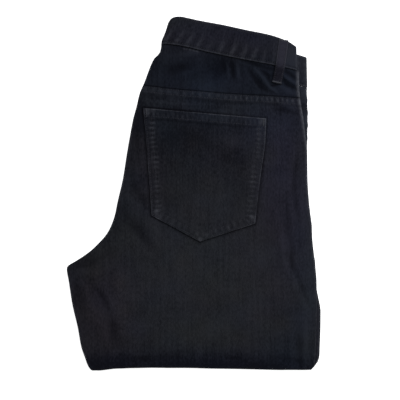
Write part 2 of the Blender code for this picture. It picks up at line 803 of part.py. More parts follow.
def leg_sections():
    """The folded legs: three flattened tubes pressed on each other, their edges uneven."""
    tubes = ((1.8, 1.6), (4.2, 3.4), (2.6, 2.2))
    rows = [UNDER_TURN_END - CORE_DEPTH - 0.4, 126.0, 121.0, 112.0, 90.0, 60.0, 20.0, -20.0,
            -60.0, -110.0, -142.0, -154.0, -178.0, -200.0, -212.0, -220.0]
    lines = [lambda x, y=y: y + 0.0 * x for y in rows]
    lines.append(lambda x: smooth(FOLD_LINE, x) + CORE_DEPTH + 1.4)
    sections = []
    for line_y in lines:
        x_left, x_right = -100.0, 149.0
        for _ in range(12):
            x_left = float(under_left(line_y(np.array(x_left))))
            x_right = float(under_right(line_y(np.array(x_right))))

        def heights(x):
            y = float(line_y(np.array(x)))
            bottom = core_bottom(x, y)
            top = min(float(support(x, y)) + 0.8, core_top(x, y) - 0.8)
            return y, bottom, max(top, bottom + 1.2)

        section = []
        for k, (left_inset, right_inset) in reversed(list(enumerate(tubes))):
            for level in (0.93, 0.5, 0.07):
                bulge = 1.0 if level == 0.5 else 0.0
                x = x_left + left_inset + 1.5 * (1 - bulge)
                y, bottom, top = heights(x)
                section.append((x, y, bottom + (top - bottom) * (k + level) / 3))
        for x in np.linspace(x_left + 9.0, x_right - 9.0, 7):
            y, bottom, top = heights(x)
            section.append((x, y, bottom))
        for k, (left_inset, right_inset) in enumerate(tubes):
            for level in (0.07, 0.5, 0.93):
                bulge = 1.0 if level == 0.5 else 0.0
                x = x_right - right_inset - 1.5 * (1 - bulge)
                y, bottom, top = heights(x)
                section.append((x, y, bottom + (top - bottom) * (k + level) / 3))
        for x in np.linspace(x_right - 9.0, x_left + 9.0, 7):
            y, bottom, top = heights(x)
            section.append((x, y, top))
        sections.append(np.array(section))
    edge, flat = 3 * len(tubes), 7
    total = 2 * (edge + flat)
    caps = [list(range(edge + 1)) + [total - 1]]
    caps += [[edge + i, edge + i + 1, total - 2 - i, total - 1 - i] for i in range(flat - 1)]
    caps += [list(range(edge + flat - 1, 2 * edge + flat + 1))]
    return sections, caps


def make_hidden_layers(colour):
    """The layers that nothing shows but at their edges, as one solid."""
    seat = loft("hidden_layers", *seat_sections(), colour)
    legs = loft("folded_legs", *leg_sections(), colour)
    legs.hide_render = True
    legs.display_type = "WIRE"
    joined = seat.modifiers.new("join", "BOOLEAN")
    joined.operation = "UNION"
    joined.object = legs
    return seat


def clear_scene():
    for thing in list(bpy.data.objects):
        bpy.data.objects.remove(thing, do_unlink=True)


def main():
    clear_scene()
    make_waistband((0.011, 0.011, 0.017))
    make_belt_loop((0.014, 0.014, 0.021))
    make_yoke((0.007, 0.008, 0.013))
    make_back_panel((0.014, 0.015, 0.021))
    make_pocket((0.011, 0.012, 0.018))
    make_front_panel((0.013, 0.014, 0.020))
    make_far_pieces((0.008, 0.009, 0.014), (0.012, 0.013, 0.019))
    make_hidden_layers((0.012, 0.013, 0.018))


main()
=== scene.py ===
# %% [markdown]
# # Black denim jeans, folded for the shelf
# A pair of slim tapered jeans is folded in half down its middle, so that the right back half
# lies on top, and the legs are turned up behind it. What we see is the waistband, one belt
# loop, the yoke, the back pocket and the thigh. Each piece of cloth is built here as its own
# thin wall, in the order in which a maker sews them on, and then gets its denim.
# The first cell loads the plain model that these pieces replace. Nothing in it is moved.

# %% Load the frame
import math

import bpy
import numpy as np
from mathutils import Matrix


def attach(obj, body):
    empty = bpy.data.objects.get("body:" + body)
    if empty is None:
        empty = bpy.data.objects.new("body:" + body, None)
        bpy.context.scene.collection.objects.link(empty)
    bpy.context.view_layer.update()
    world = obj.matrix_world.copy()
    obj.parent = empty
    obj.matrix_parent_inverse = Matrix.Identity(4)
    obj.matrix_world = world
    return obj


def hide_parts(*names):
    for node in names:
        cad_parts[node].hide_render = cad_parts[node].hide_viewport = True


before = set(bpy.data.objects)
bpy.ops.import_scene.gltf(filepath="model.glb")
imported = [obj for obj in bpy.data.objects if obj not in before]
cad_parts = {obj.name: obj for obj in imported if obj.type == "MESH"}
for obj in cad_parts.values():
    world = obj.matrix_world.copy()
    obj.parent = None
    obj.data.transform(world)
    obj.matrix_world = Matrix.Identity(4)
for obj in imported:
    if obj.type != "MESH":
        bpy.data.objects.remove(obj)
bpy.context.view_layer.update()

MILLIMETRE = 0.001
bpy.ops.object.select_all(action="DESELECT")
print("nodes to dress:", ", ".join(sorted(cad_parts)))

# %% [markdown]
# ## Camera
# The photograph looks straight down with a long lens, with the waist at the top. The camera
# comes first, because every later choice is judged through it. Its height and lens together
# give a picture 528 mm wide at the cloth. A shorter lens from nearer by would show the sides
# of the stack, which the photograph doesn't.

# %% Place the camera
VIEW_WIDTH = 0.528
VIEW_CENTRE = (0.0086, -0.0083)
CAMERA_HEIGHT = 2.4
CLOTH_HEIGHT = 0.010
SENSOR = 36.0

camera_data = bpy.data.cameras.new("camera")
camera_data.sensor_width = SENSOR
camera_data.lens = SENSOR * (CAMERA_HEIGHT - CLOTH_HEIGHT) / VIEW_WIDTH
camera = bpy.data.objects.new("camera", camera_data)
camera.location = (*VIEW_CENTRE, CAMERA_HEIGHT)
bpy.context.scene.collection.objects.link(camera)
bpy.context.scene.camera = camera
print("lens", round(camera_data.lens, 1), "mm")

# %% [markdown]
# ## Sizes of the cloth
# Denim for jeans is a little over a millimetre thick. These sizes are those of the plain
# model, in millimetres: a leg lying flat is two walls with some air between them, and the
# upper half lies on the far half, which lies on the folded legs.

# %% Cloth, layers and waistband
CLOTH = 1.4
SEAM_GAP = 0.3
LAYER_GAP = 0.35
HALF_GAP = 0.7
LEG_TUBE = 4.0
TUBE_RADIUS = LEG_TUBE / 2
FRONT_DROP = 0.15
FAR_TUBE = 3.6
FAR_RADIUS = FAR_TUBE / 2
UPPER_STACK = LEG_TUBE + HALF_GAP + FAR_TUBE
CORE_DEPTH = LEG_TUBE + HALF_GAP
TIP_LIFT = 0.5
HANG_REACH = 55.0
HANG_SET_BACK = 8.0

BAND_WALL = 2.4
BAND_LEVELS = (8.6, 5.45, 2.4, -0.4)
BAND_NEAR_WIDTH = 182.0
BAND_FAR_WIDTH = 195.0
BAND_HEIGHT = 38.0

# %% Loop, seam, pocket and folds
LOOP_WIDTH = 12.5
LOOP_WALL = 2.0
FELL_WIDTH = 9.2
FELL_RISE = 0.8
POCKET_HEM = 12.0
POCKET_HEM_RISE = 0.7
POCKET_TURN_IN = 15.0
POCKET_TURN_IN_RISE = 0.45
FAR_STRIP = 22.0
STRIP_END = 45.0
STRIP_DROP = 0.2
NOSE_ABOVE = 34.0
NOSE_BELOW = 18.0
NOSE_FLAT = 0.6
NOSE_FULL = 0.72
UNDER_TURN_START = 116.0
UNDER_TURN_END = 133.0
UNDER_TURN_HEIGHT = 6.3
SKEW_END = 50.0

# %% [markdown]
# ## Outlines
# The outline of folded cloth is a drawn line, so it is kept as a list of points and read
# through a smooth curve. X runs from the inseam to the side seam, and Y from the lower fold
# to the waist.

# %% Outlines of the near half, the far half and the leg below
# Near half: y, left x, right x.
NEAR_OUTLINE = (
    (-234.0, -134.6, 155.1), (-231.3, -137.3, 157.1), (-225.4, -140.1, 159.7),
    (-217.5, -142.7, 160.4), (-201.6, -148.1, 161.0), (-177.9, -152.5, 161.7),
    (-146.2, -160.1, 162.4), (-114.5, -165.1, 162.1), (-98.7, -167.6, 160.8),
    (-95.4, -166.2, 160.6), (-90.8, -158.8, 160.4), (-82.8, -146.0, 159.1),
    (-74.9, -135.3, 158.1), (-67.0, -127.0, 157.2), (-54.5, -115.5, 156.2),
    (-43.2, -109.0, 155.9), (-27.4, -103.4, 153.9), (-11.6, -100.2, 152.1),
    (20.0, -92.9, 150.1), (51.8, -87.9, 149.7), (75.6, -83.8, 147.2),
    (99.3, -79.3, 144.5), (115.2, -75.0, 141.9), (131.0, -71.4, 139.9),
    (146.8, -64.9, 139.3), (162.7, -59.1, 139.3), (170.6, -56.0, 138.6),
    (178.5, -51.9, 137.9), (185.8, -44.7, 137.7), (193.7, -42.6, 137.3),
)
# Far half's right edge: y, x.
FAR_EDGE = (
    (-231.3, 157.7), (-225.4, 162.8), (-216.8, 164.3), (-201.0, 165.4), (-177.2, 166.3),
    (-154.1, 166.5), (-146.2, 165.4), (-137.6, 163.8), (-114.5, 161.4), (-74.2, 157.5),
    (-43.2, 155.1), (-10.9, 151.1), (20.8, 149.4), (57.8, 149.7), (100.0, 150.6),
    (140.9, 149.6), (180.0, 148.5),
)
# Leg on the floor, tapering to the second fold: y, left x, right x.
UNDER_OUTLINE = (
    (-233.3, -134.6, 158.4), (-225.4, -137.3, 165.0), (-217.5, -135.3, 166.8),
    (-201.6, -130.7, 167.3), (-177.9, -124.1, 168.2), (-154.1, -118.1, 168.4),
    (-140.2, -114.8, 165.8), (-120.5, -110.2, 162.4), (-8.2, -83.8, 151.1),
    (110.6, -56.1, 143.2), (133.0, -50.8, 140.6),
)
# Height of what the upper layers rest on: y, height.
SUPPORT = (
    (-200.0, 10.2), (-185.0, 10.8), (-80.0, 10.8), (-55.0, 11.3), (-30.0, 12.8),
    (-5.0, 13.5), (60.0, 13.5), (100.0, 13.0), (117.0, 11.3), (130.0, 9.0), (140.0, 6.5),
    (155.0, 4.0), (168.0, 3.0), (234.0, 3.0),
)

# %% Lines that cross the garment: x, y
FOLD_LINE = (
    (-139.3, -232.0), (-134.0, -233.6), (-126.0, -233.6), (-104.9, -231.6), (-70.6, -230.5),
    (-31.0, -230.1), (37.6, -231.1), (77.2, -231.9), (127.4, -232.9), (156.4, -232.5),
    (163.0, -229.0),
)
YOKE_SEAM = (
    (-71.9, 143.6), (-31.0, 138.5), (8.6, 134.9), (48.2, 131.5), (94.4, 129.0), (140.6, 125.8),
)
BAND_LOW = (
    (-42.2, 198.0), (-33.7, 197.4), (-20.5, 195.8), (-7.3, 193.3), (5.9, 190.0), (19.1, 186.8),
    (32.3, 184.0), (48.2, 180.6), (71.9, 176.0), (94.4, 171.8), (116.0, 167.6), (136.6, 162.8),
)
BAND_TOP = (
    (-25.1, 233.4), (-17.2, 233.8), (-9.2, 232.4), (-1.3, 230.6), (6.6, 228.8),
    (38.3, 222.9), (70.0, 216.0), (101.6, 209.4), (124.7, 201.0), (136.0, 193.7),
)
FAR_BAND_LOW = ((-42.2, 193.7), (150.6, 140.2))
FAR_BAND_TOP = ((-25.1, 233.6), (149.9, 180.4))
FAR_YOKE_SEAM = ((-42.2, 146.0), (149.2, 111.0))
POCKET_LEFT = ((-66.0, 112.5), (-60.6, 51.5), (-54.9, -28.7))
POCKET_RIGHT = ((95.7, 98.7), (93.9, 63.0), (88.7, 28.7), (80.9, -39.3))
POCKET_TIP = (8.6, -63.0)
POCKET_TIP_SHARE = 0.467
# Belt loop: x, y, underside over the yoke.
LOOP_PATH = (
    (119.2, 203.0, 2.0), (117.5, 191.0, 2.1), (115.8, 179.0, 2.2), (114.6, 170.0, 2.2),
    (113.4, 163.0, 2.0), (112.1, 157.0, 1.5), (110.9, 151.0, 0.8), (109.6, 145.5, 0.4),
)

# %% [markdown]
# ## Reading a line smoothly
# A straight line between the points would show a corner at each one, and a plain cubic would
# swing past them. This cubic keeps its slope level wherever the points turn, so the outline
# stays exactly as wide as it was drawn.

# %% Curves and steps
def smooth(table, at, column=1):
    """A table read between its rows by a cubic that never overshoots them."""
    data = np.array(sorted(table), float).T
    keys, values = data[0], data[column]
    slope = np.diff(values) / np.diff(keys)
    tangent = np.zeros_like(values)
    same = slope[:-1] * slope[1:] > 0
    safe = np.where(same, slope[:-1] + slope[1:], 1.0)
    tangent[1:-1] = np.where(same, 2 * slope[:-1] * slope[1:] / safe, 0.0)
    tangent[0], tangent[-1] = slope[0], slope[-1]
    at = np.clip(at, keys[0], keys[-1])
    i = np.clip(np.searchsorted(keys, at, side="right") - 1, 0, len(slope) - 1)
    width = keys[i + 1] - keys[i]
    t = (at - keys[i]) / width
    return (
        (1 + 2 * t) * (1 - t) ** 2 * values[i]
        + t * (1 - t) ** 2 * width * tangent[i]
        + t * t * (3 - 2 * t) * values[i + 1]
        + t * t * (t - 1) * width * tangent[i + 1]
    )


def soft_step(t):
    t = np.clip(t, 0.0, 1.0)
    return t * t * (3 - 2 * t)


def bump(distance, half_width):
    """A soft hump, 1 in its middle and 0 from its half width on."""
    return (1 + np.cos(math.pi * np.clip(np.abs(distance) / half_width, 0, 1))) / 2


def near_left(y):
    return smooth(NEAR_OUTLINE, y, 1)


def near_right(y):
    return smooth(NEAR_OUTLINE, y, 2)


def under_left(y):
    return smooth(UNDER_OUTLINE, y, 1)


def under_right(y):
    return smooth(UNDER_OUTLINE, y, 2)


def far_right(y):
    return smooth(FAR_EDGE, y)


# %% Heights: what the upper layers rest on
def support(x, y):
    span = HANG_REACH + HANG_SET_BACK
    held = soft_step((x - under_left(y) + HANG_REACH) / span)
    held = held * soft_step((under_right(y) - x + HANG_REACH) / span)
    return TIP_LIFT + (smooth(SUPPORT, y) - TIP_LIFT) * held


def upper_face(x, y):
    """The upper half's outer face while it is still plain."""
    return support(x, y) + UPPER_STACK


print("face at the thigh", round(float(upper_face(0.0, -100.0)), 1), "mm up")

# %% [markdown]
# ## Folds, ripples and unevenness
# Washed denim is never flat. Three things move its surface: long soft creases where the
# cloth was bent, small ripples that a seam's thread draws up, and a general unevenness. The
# creases are placed one by one, because their places are what makes this pair look like itself.
# Noise alone would look like crumpled paper, and a simulation would put them elsewhere.

# %% Helpers for uneven cloth
HILL_LATTICE = 64


def hills(x, y, size, seed):
    """Soft random hills from about -1 to 1, `size` millimetres across."""
    total = 0.0
    for turn, share, scale in ((0.35, 0.62, 1.0), (1.25, 0.38, 0.57)):
        lattice = np.random.default_rng(seed).uniform(-1, 1, (HILL_LATTICE, HILL_LATTICE))
        across = (x * math.cos(turn) + y * math.sin(turn)) / (size * scale) + 500.3
        along = (y * math.cos(turn) - x * math.sin(turn)) / (size * scale) + 500.7
        i, j = np.floor(across).astype(int), np.floor(along).astype(int)
        s, t = soft_step(across - i), soft_step(along - j)
        corner = [
            [lattice[(i + a) % HILL_LATTICE, (j + b) % HILL_LATTICE] for b in (0, 1)]
            for a in (0, 1)
        ]
        low = corner[0][0] * (1 - t) + corner[0][1] * t
        high = corner[1][0] * (1 - t) + corner[1][1] * t
        total = total + share * (low * (1 - s) + high * s)
        seed += 1
    return 1.5 * total


def along_line(x, y, line):
    """Distance from a line of points, and the place along it, in millimetres."""
    points = np.array(line, float)
    runs = np.diff(points, axis=0)
    nearest, place, before = np.full(np.shape(x), 1e9), np.zeros(np.shape(x)), 0.0
    for (px, py), (run_x, run_y) in zip(points, runs):
        length = math.hypot(run_x, run_y)
        t = np.clip(((x - px) * run_x + (y - py) * run_y) / length**2, 0, 1)
        away = np.hypot(x - px - t * run_x, y - py - t * run_y)
        place = np.where(away < nearest, before + t * length, place)
        nearest = np.minimum(nearest, away)
        before += length
    return nearest, place, before


def ripple(place, wave, seed):
    """Ripples along a seam: about one `wave` apart, uneven in spacing and strength."""
    drift = 0.9 * hills(place, 0 * place, 2.6 * wave, seed)
    strength = 0.72 + 0.4 * hills(place, 0 * place, 3.4 * wave, seed + 7)
    return np.sin(2 * math.pi * place / wave + drift) * strength


# %% The creases, placed one by one
# Height (a trough is negative), half width, then the points that the crease runs through.
CREASES = (
    (-1.5, 6.0, (71, 166), (84, 148), (91, 140), (103, 132)),
    (-1.3, 4.0, (90, 163), (99, 155), (101, 144)),
    (-0.9, 4.0, (62, 176), (105, 163)),
    (1.6, 4.5, (80, 166), (93, 151), (101, 139), (110, 134)),
    (-1.4, 5.0, (120, 163), (136, 151)),
    (-1.5, 5.0, (115, 155), (123, 145), (138, 137)),
    (1.5, 4.0, (118, 156), (127, 149), (135, 144)),
    (1.3, 6.5, (110, 147), (124, 134), (138, 130)),
    (-1.3, 5.5, (50, 176), (53, 150)),
    (-0.8, 5.0, (38, 178), (41, 157)),
    (-0.7, 5.0, (63, 172), (66, 152)),
    (1.0, 5.0, (57, 174), (60, 150)),
    (0.9, 5.5, (44, 176), (47, 152)),
    (-1.0, 13.0, (-38, 160), (-3, 171)),
    (0.9, 7.0, (-22, 184), (9, 186)),
    (-0.75, 12.0, (-101, -15), (-72, -48), (-44, -84)),
    (0.7, 12.0, (-92, 4), (-56, -38), (-30, -70)),
    (-0.7, 10.0, (-82, 20), (-62, -20)),
    (-0.6, 7.5, (-131, -120), (-119, -135), (-111, -152)),
    (0.55, 7.5, (-117, -126), (-106, -146), (-102, -164)),
    (0.7, 5.0, (-132, -163), (-116, -176)),
    (-0.7, 11.0, (-112, -150), (-106, -170), (-105, -200)),
    (0.6, 9.0, (-149, -112), (-138, -134), (-130, -158)),
    (-0.6, 9.0, (-158, -112), (-150, -136), (-142, -170)),
    (-1.0, 7.0, (139, -172), (141, -230)),
    (0.9, 7.0, (148, -165), (149, -226)),
    (-0.8, 6.0, (137, 60), (132, 12), (137, -30)),
    (0.7, 7.0, (143, 40), (141, -8), (146, -66)),
    (-0.7, 7.0, (122, -6), (130, -74), (127, -122)),
    (0.8, 7.0, (112, -30), (119, -86), (135, -126), (150, -160)),
    (-0.6, 6.0, (128, -84), (143, -124), (155, -154)),
    (-0.6, 8.0, (-166, -98), (-137, -92), (-106, -76)),
    (0.7, 9.0, (-160, -106), (-128, -104), (-96, -92)),
    (-0.6, 13.0, (-26, 92), (14, 66), (50, 42)),
    (0.5, 13.0, (-42, 66), (-2, 40), (38, 16)),
    (-0.8, 9.0, (-114, -214), (-70, -218), (-12, -212)),
    (-0.7, 8.0, (14, -210), (74, -219)),
    (-0.8, 8.0, (96, -212), (142, -221)),
    (0.8, 6.0, (108, 120), (136, 113)),
    (-0.9, 5.5, (106, 112), (124, 108), (139, 104)),
    (-0.5, 8.0, (-76, 96), (-74, 40)),
    (-0.7, 3.6, (-68, 127), (-48, 125.5), (-30, 124)),
    (0.6, 4.0, (-62, 121), (-20, 118), (24, 116)),
    (-0.6, 4.0, (4, 122), (40, 119), (76, 118)),
)
TROUGH_LIMIT = -1.1
SEAM_WAVE = 6.8
LEFT_SEAM_WAVE = 11.0
SEAM_TURN = 40.0
EDGE_HOLD = 14.0


def creases(x, y):
    """Ridges and troughs, softer towards their ends and uneven along their length."""
    total = 0.0
    for number, (height, half_width, *line) in enumerate(CREASES):
        away, place, length = along_line(x, y, line)
        taper = np.sin(math.pi * np.clip(0.06 + 0.88 * place / length, 0, 1)) ** 0.7
        uneven = 1 + 0.3 * hills(place, 0 * place, 15.0, 40 + number)
        total = total + height * taper * uneven * bump(away, half_width * (0.8 + 0.2 * taper))
    return total


def seam_away(x, y):
    """How far a point lies below the yoke seam."""
    return smooth(YOKE_SEAM, x) - y


def seam_ripple(x):
    """The felled seam's ripples, longer on the left than on the right."""
    left_place = SEAM_TURN + (x - SEAM_TURN) * SEAM_WAVE / LEFT_SEAM_WAVE
    return ripple(np.where(x < SEAM_TURN, left_place, x), SEAM_WAVE, 11)


def cloth_relief(x, y):
    """What the creases, the yoke seam's ripples and unevenness add to the upper face."""
    rise = creases(x, y)
    rise = rise + 0.42 * hills(x, y, 64.0, 3) + 0.16 * hills(x, y, 21.0, 5)
    away = seam_away(x, y)
    pull = np.exp(-((np.maximum(np.abs(away - FELL_WIDTH / 2) - 3.0, 0) / 4.0) ** 2))
    right = 0.6 + 0.6 * soft_step((x - 60) / 60)
    rise = rise + 0.34 * right * pull * seam_ripple(x)
    fold = bump(y + 232.0, 32.0)
    rise = rise + 0.35 * fold * hills(x, 0.35 * y, 17.0, 17)
    return np.maximum(rise, TROUGH_LIMIT)


print(len(CREASES), "creases placed by hand")

# %% [markdown]
# ## From numbers to cloth
# A piece of cloth is a closed wall: an outer face, an inner face, and a rim that joins them.
# Solidify would give one too, but the two faces of a rolled edge need their own radius. Each
# piece also carries its flat pattern as a UV map in metres, so that the weave runs with the
# cloth, and five painted masks: how faded, blue and violet the dye is, with painted shade and
# light on the lower fold and the creases; how pale the edges are from rubbing, with painted
# highlights on ripples and lit edges; and painted shade in hollows, seams and crevices.

# %% Walls, patterns and masks
def wall_faces(rows, row_length):
    """Faces of a closed wall between an outer and an inner grid of the same size."""
    count = rows * row_length
    at = np.arange(count).reshape(rows, row_length)
    quads = np.stack([at[:-1, :-1], at[1:, :-1], at[1:, 1:], at[:-1, 1:]], -1).reshape(-1, 4)
    border = np.r_[at[0], at[1:, -1], at[-1, -2::-1], at[-2:0:-1, 0]]
    ahead = np.roll(border, -1)
    rim = np.stack([border, ahead, ahead + count, border + count], 1)
    return np.concatenate([quads, quads[:, ::-1] + count, rim])


def outward(points, faces):
    """The faces, turned round if the closed mesh is inside out."""
    a, b, c, d = (points[faces[:, k]] for k in range(4))
    volume = np.einsum("ij,ij->i", a, np.cross(b, c)).sum()
    volume += np.einsum("ij,ij->i", a, np.cross(c, d)).sum()
    return faces if volume > 0 else faces[:, ::-1]


def cloth_piece(name, points, faces, flat, masks, material):
    """A mesh from points in millimetres, with its flat pattern and its masks."""
    mesh = bpy.data.meshes.new(name)
    mesh.from_pydata((points * MILLIMETRE).tolist(), [], outward(points, faces).tolist())
    mesh.update()
    mesh.shade_smooth()
    corners = np.zeros(len(mesh.loops), int)
    mesh.loops.foreach_get("vertex_index", corners)
    pattern = mesh.uv_layers.new(name="cloth")
    pattern.data.foreach_set("uv", (flat * MILLIMETRE)[corners].ravel())
    for mask, values in masks.items():
        layer = mesh.attributes.new(mask, "FLOAT", "POINT")
        layer.data.foreach_set("value", np.clip(values, 0, 1.4).astype(np.float32))
    mesh.materials.append(material)
    piece = bpy.data.objects.new(name, mesh)
    bpy.context.scene.collection.objects.link(piece)
    return piece


def dress(piece, slot, *nodes):
    """What every piece of this garment needs: it rides on the root and replaces its solid."""
    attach(piece, "root")
    if nodes:
        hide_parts(*nodes)
    triangles = sum(len(face.vertices) - 2 for face in piece.data.polygons)
    low, high = (np.array(piece.bound_box)[k] * 1000 for k in (0, 6))
    print(piece.name, triangles, "triangles", np.round(high - low, 1), "mm")


# %% How faded, blue and violet the dye is over the garment, with painted shade and light
# Each line is a soft patch: its middle x and y, its half sizes, and how much more (or less)
# faded the cloth is there. Some patches are painted shade or painted light, not dye: on the
# lower fold, over the seat, on the pocket's slack, on the yoke and at the side of the waist.
FADES_AND_SHADING = (
    # the thigh, where the wash has taken most, up to the pocket's point
    (10, -110, 130, 110, 0.36),
    (15, -20, 60, 60, 0.14),
    (20, -180, 120, 24, 0.20),
    # the outside of the leg, and the side seam's rubbed edge
    (115, 20, 70, 130, 0.24),
    (100, -110, 60, 90, 0.16),
    (152, -60, 12, 120, 0.32),
    (148, -175, 26, 55, 0.34),
    # the inside of the leg
    (-115, -150, 60, 70, 0.14),
    # painted shade on the lower fold, which turns down away from the light, and on its inseam corner
    (-10, -230, 130, 20, -0.52),
    (100, -230, 90, 18, -0.20),
    (-125, -225, 40, 20, -0.34),
    # painted shade in the hollow of the seat under the yoke seam, darker at the seat seam, and in
    #     # the hollow beside the side seam
    (-10, 85, 90, 45, -0.24),
    (-74, 108, 16, 34, -0.40),
    (105, 108, 50, 18, -0.24),
    # the pocket: its rubbed hem, then painted shade and light on the slack that runs down across it
    (35, 100, 60, 9, 0.24),
    (-24, 66, 36, 20, -0.16),
    (54, 70, 16, 12, 0.26),
    (55, 45, 26, 16, -0.22),
    # the yoke: painted light on the ridge above its seam, painted shade in the hollow left of
    #     # the loop's creases, and painted light on a raised part
    (18, 140, 34, 14, 0.46),
    (38, 167, 22, 14, -0.50),
    (-24, 177, 20, 12, 0.24),
    # the seat seam's end of the yoke
    (-53, 170, 10, 20, -0.30),
    # past the belt loop, where the side of the waist sticks out and rubs, with a painted highlight
    (130, 185, 22, 36, 0.66),
)
# The same for how blue it is, from a warm black to a blue one.
TINTS = (
    # the yoke and the seat, which keep most of their dye
    (30, 156, 150, 38, 0.46),
    (20, 105, 120, 40, 0.38),
    # the outside of the leg
    (122, 60, 45, 130, 0.36),
    (145, -100, 34, 90, 0.26),
    # the lower fold: a blue cast that goes with its painted shade
    (0, -228, 220, 26, 0.55),
    (130, -205, 50, 50, 0.25),
    # the waistband
    (60, 215, 140, 26, 0.35),
    # the inside of the leg, which is warmer
    (-130, -140, 60, 90, -0.10),
)
# And how violet, which the sides, the inseam, the band and the fold are.
VIOLETS = (
    (122, 20, 42, 130, 0.8),
    (110, -60, 60, 120, 0.35),
    (-125, -150, 60, 80, 0.9),
    (-60, 30, 30, 90, 0.5),
    (40, 60, 60, 45, 0.4),
    (30, 206, 110, 30, 0.6),
    (0, -228, 220, 26, 0.5),
)


def painted(x, y, start, table):
    """A starting value and what the soft patches of a table add to it."""
    total = start
    for middle_x, middle_y, half_x, half_y, more in table:
        away = np.hypot((x - middle_x) / half_x, (y - middle_y) / half_y)
        total = total + more * bump(away, 1.35)
    return total


def fade_and_shading_at(x, y):
    """Dye faded most on the thigh and the side and least round the yoke, with painted shade on the lower
    fold and painted shade and light in some patches.
    """
    fade_and_shading = painted(x, y, 0.42, FADES_AND_SHADING)
    return fade_and_shading + 0.08 * hills(x, y, 40.0, 23) + 0.05 * hills(x, y, 12.0, 29)


def tint_at(x, y):
    return painted(x, y, 0.3, TINTS) + 0.14 * hills(x, y, 30.0, 37)


def violet_at(x, y):
    return painted(x, y, 0.1, VIOLETS) + 0.18 * hills(x, y, 38.0, 43)


# %% [markdown]
# ## Denim
# Denim is a twill: the dark warp runs down the leg and crosses over pale weft threads, which
# gives fine slanted lines and a heathered look. Washed black denim is a bluish black that
# turns grey where it has rubbed. The weave is one node group with the twill, the uneven
# yarns and the five masks, so that each piece uses it with its own dye. It reads the flat
# pattern, because a pattern in space would slide across the folds.

# %% The weave, as a node group
def add_node(tree, kind, **settings):
    node = tree.nodes.new(kind)
    for key, value in settings.items():
        setattr(node, key, value)
    return node


def set_inputs(node, values):
    for key, value in values.items():
        node.inputs[key].default_value = value


def calculate(tree, operation, *terms):
    """A Math node on sockets or numbers."""
    node = add_node(tree, "ShaderNodeMath", operation=operation)
    for socket, term in zip(node.inputs, terms):
        if isinstance(term, (int, float)):
            socket.default_value = term
        else:
            tree.links.new(term, socket)
    return node.outputs[0]


def colour_sockets(node):
    """The colour inputs and output of a Mix node, which has one set for each kind of data."""
    ins = [s for s in node.inputs if s.type == "RGBA"]
    outs = [s for s in node.outputs if s.type == "RGBA"]
    return ins[0], ins[1], outs[0]


def mix(tree, share, one, two, kind="MIX"):
    node = add_node(tree, "ShaderNodeMix", data_type="RGBA", blend_type=kind)
    first, second, result = colour_sockets(node)
    for socket, term in ((node.inputs[0], share), (first, one), (second, two)):
        if isinstance(term, bpy.types.NodeSocket):
            tree.links.new(term, socket)
        else:
            socket.default_value = term
    return result


def noise(tree, vector, scale, detail=2.0, roughness=0.5):
    node = add_node(tree, "ShaderNodeTexNoise")
    set_inputs(node, {"Scale": scale, "Detail": detail, "Roughness": roughness})
    tree.links.new(vector, node.inputs["Vector"])
    return node.outputs["Fac"]


def scaled(tree, vector, scale):
    node = add_node(tree, "ShaderNodeMapping")
    node.inputs["Scale"].default_value = scale
    tree.links.new(vector, node.inputs["Vector"])
    return node.outputs[0]


TWILL_PITCH = 0.0013


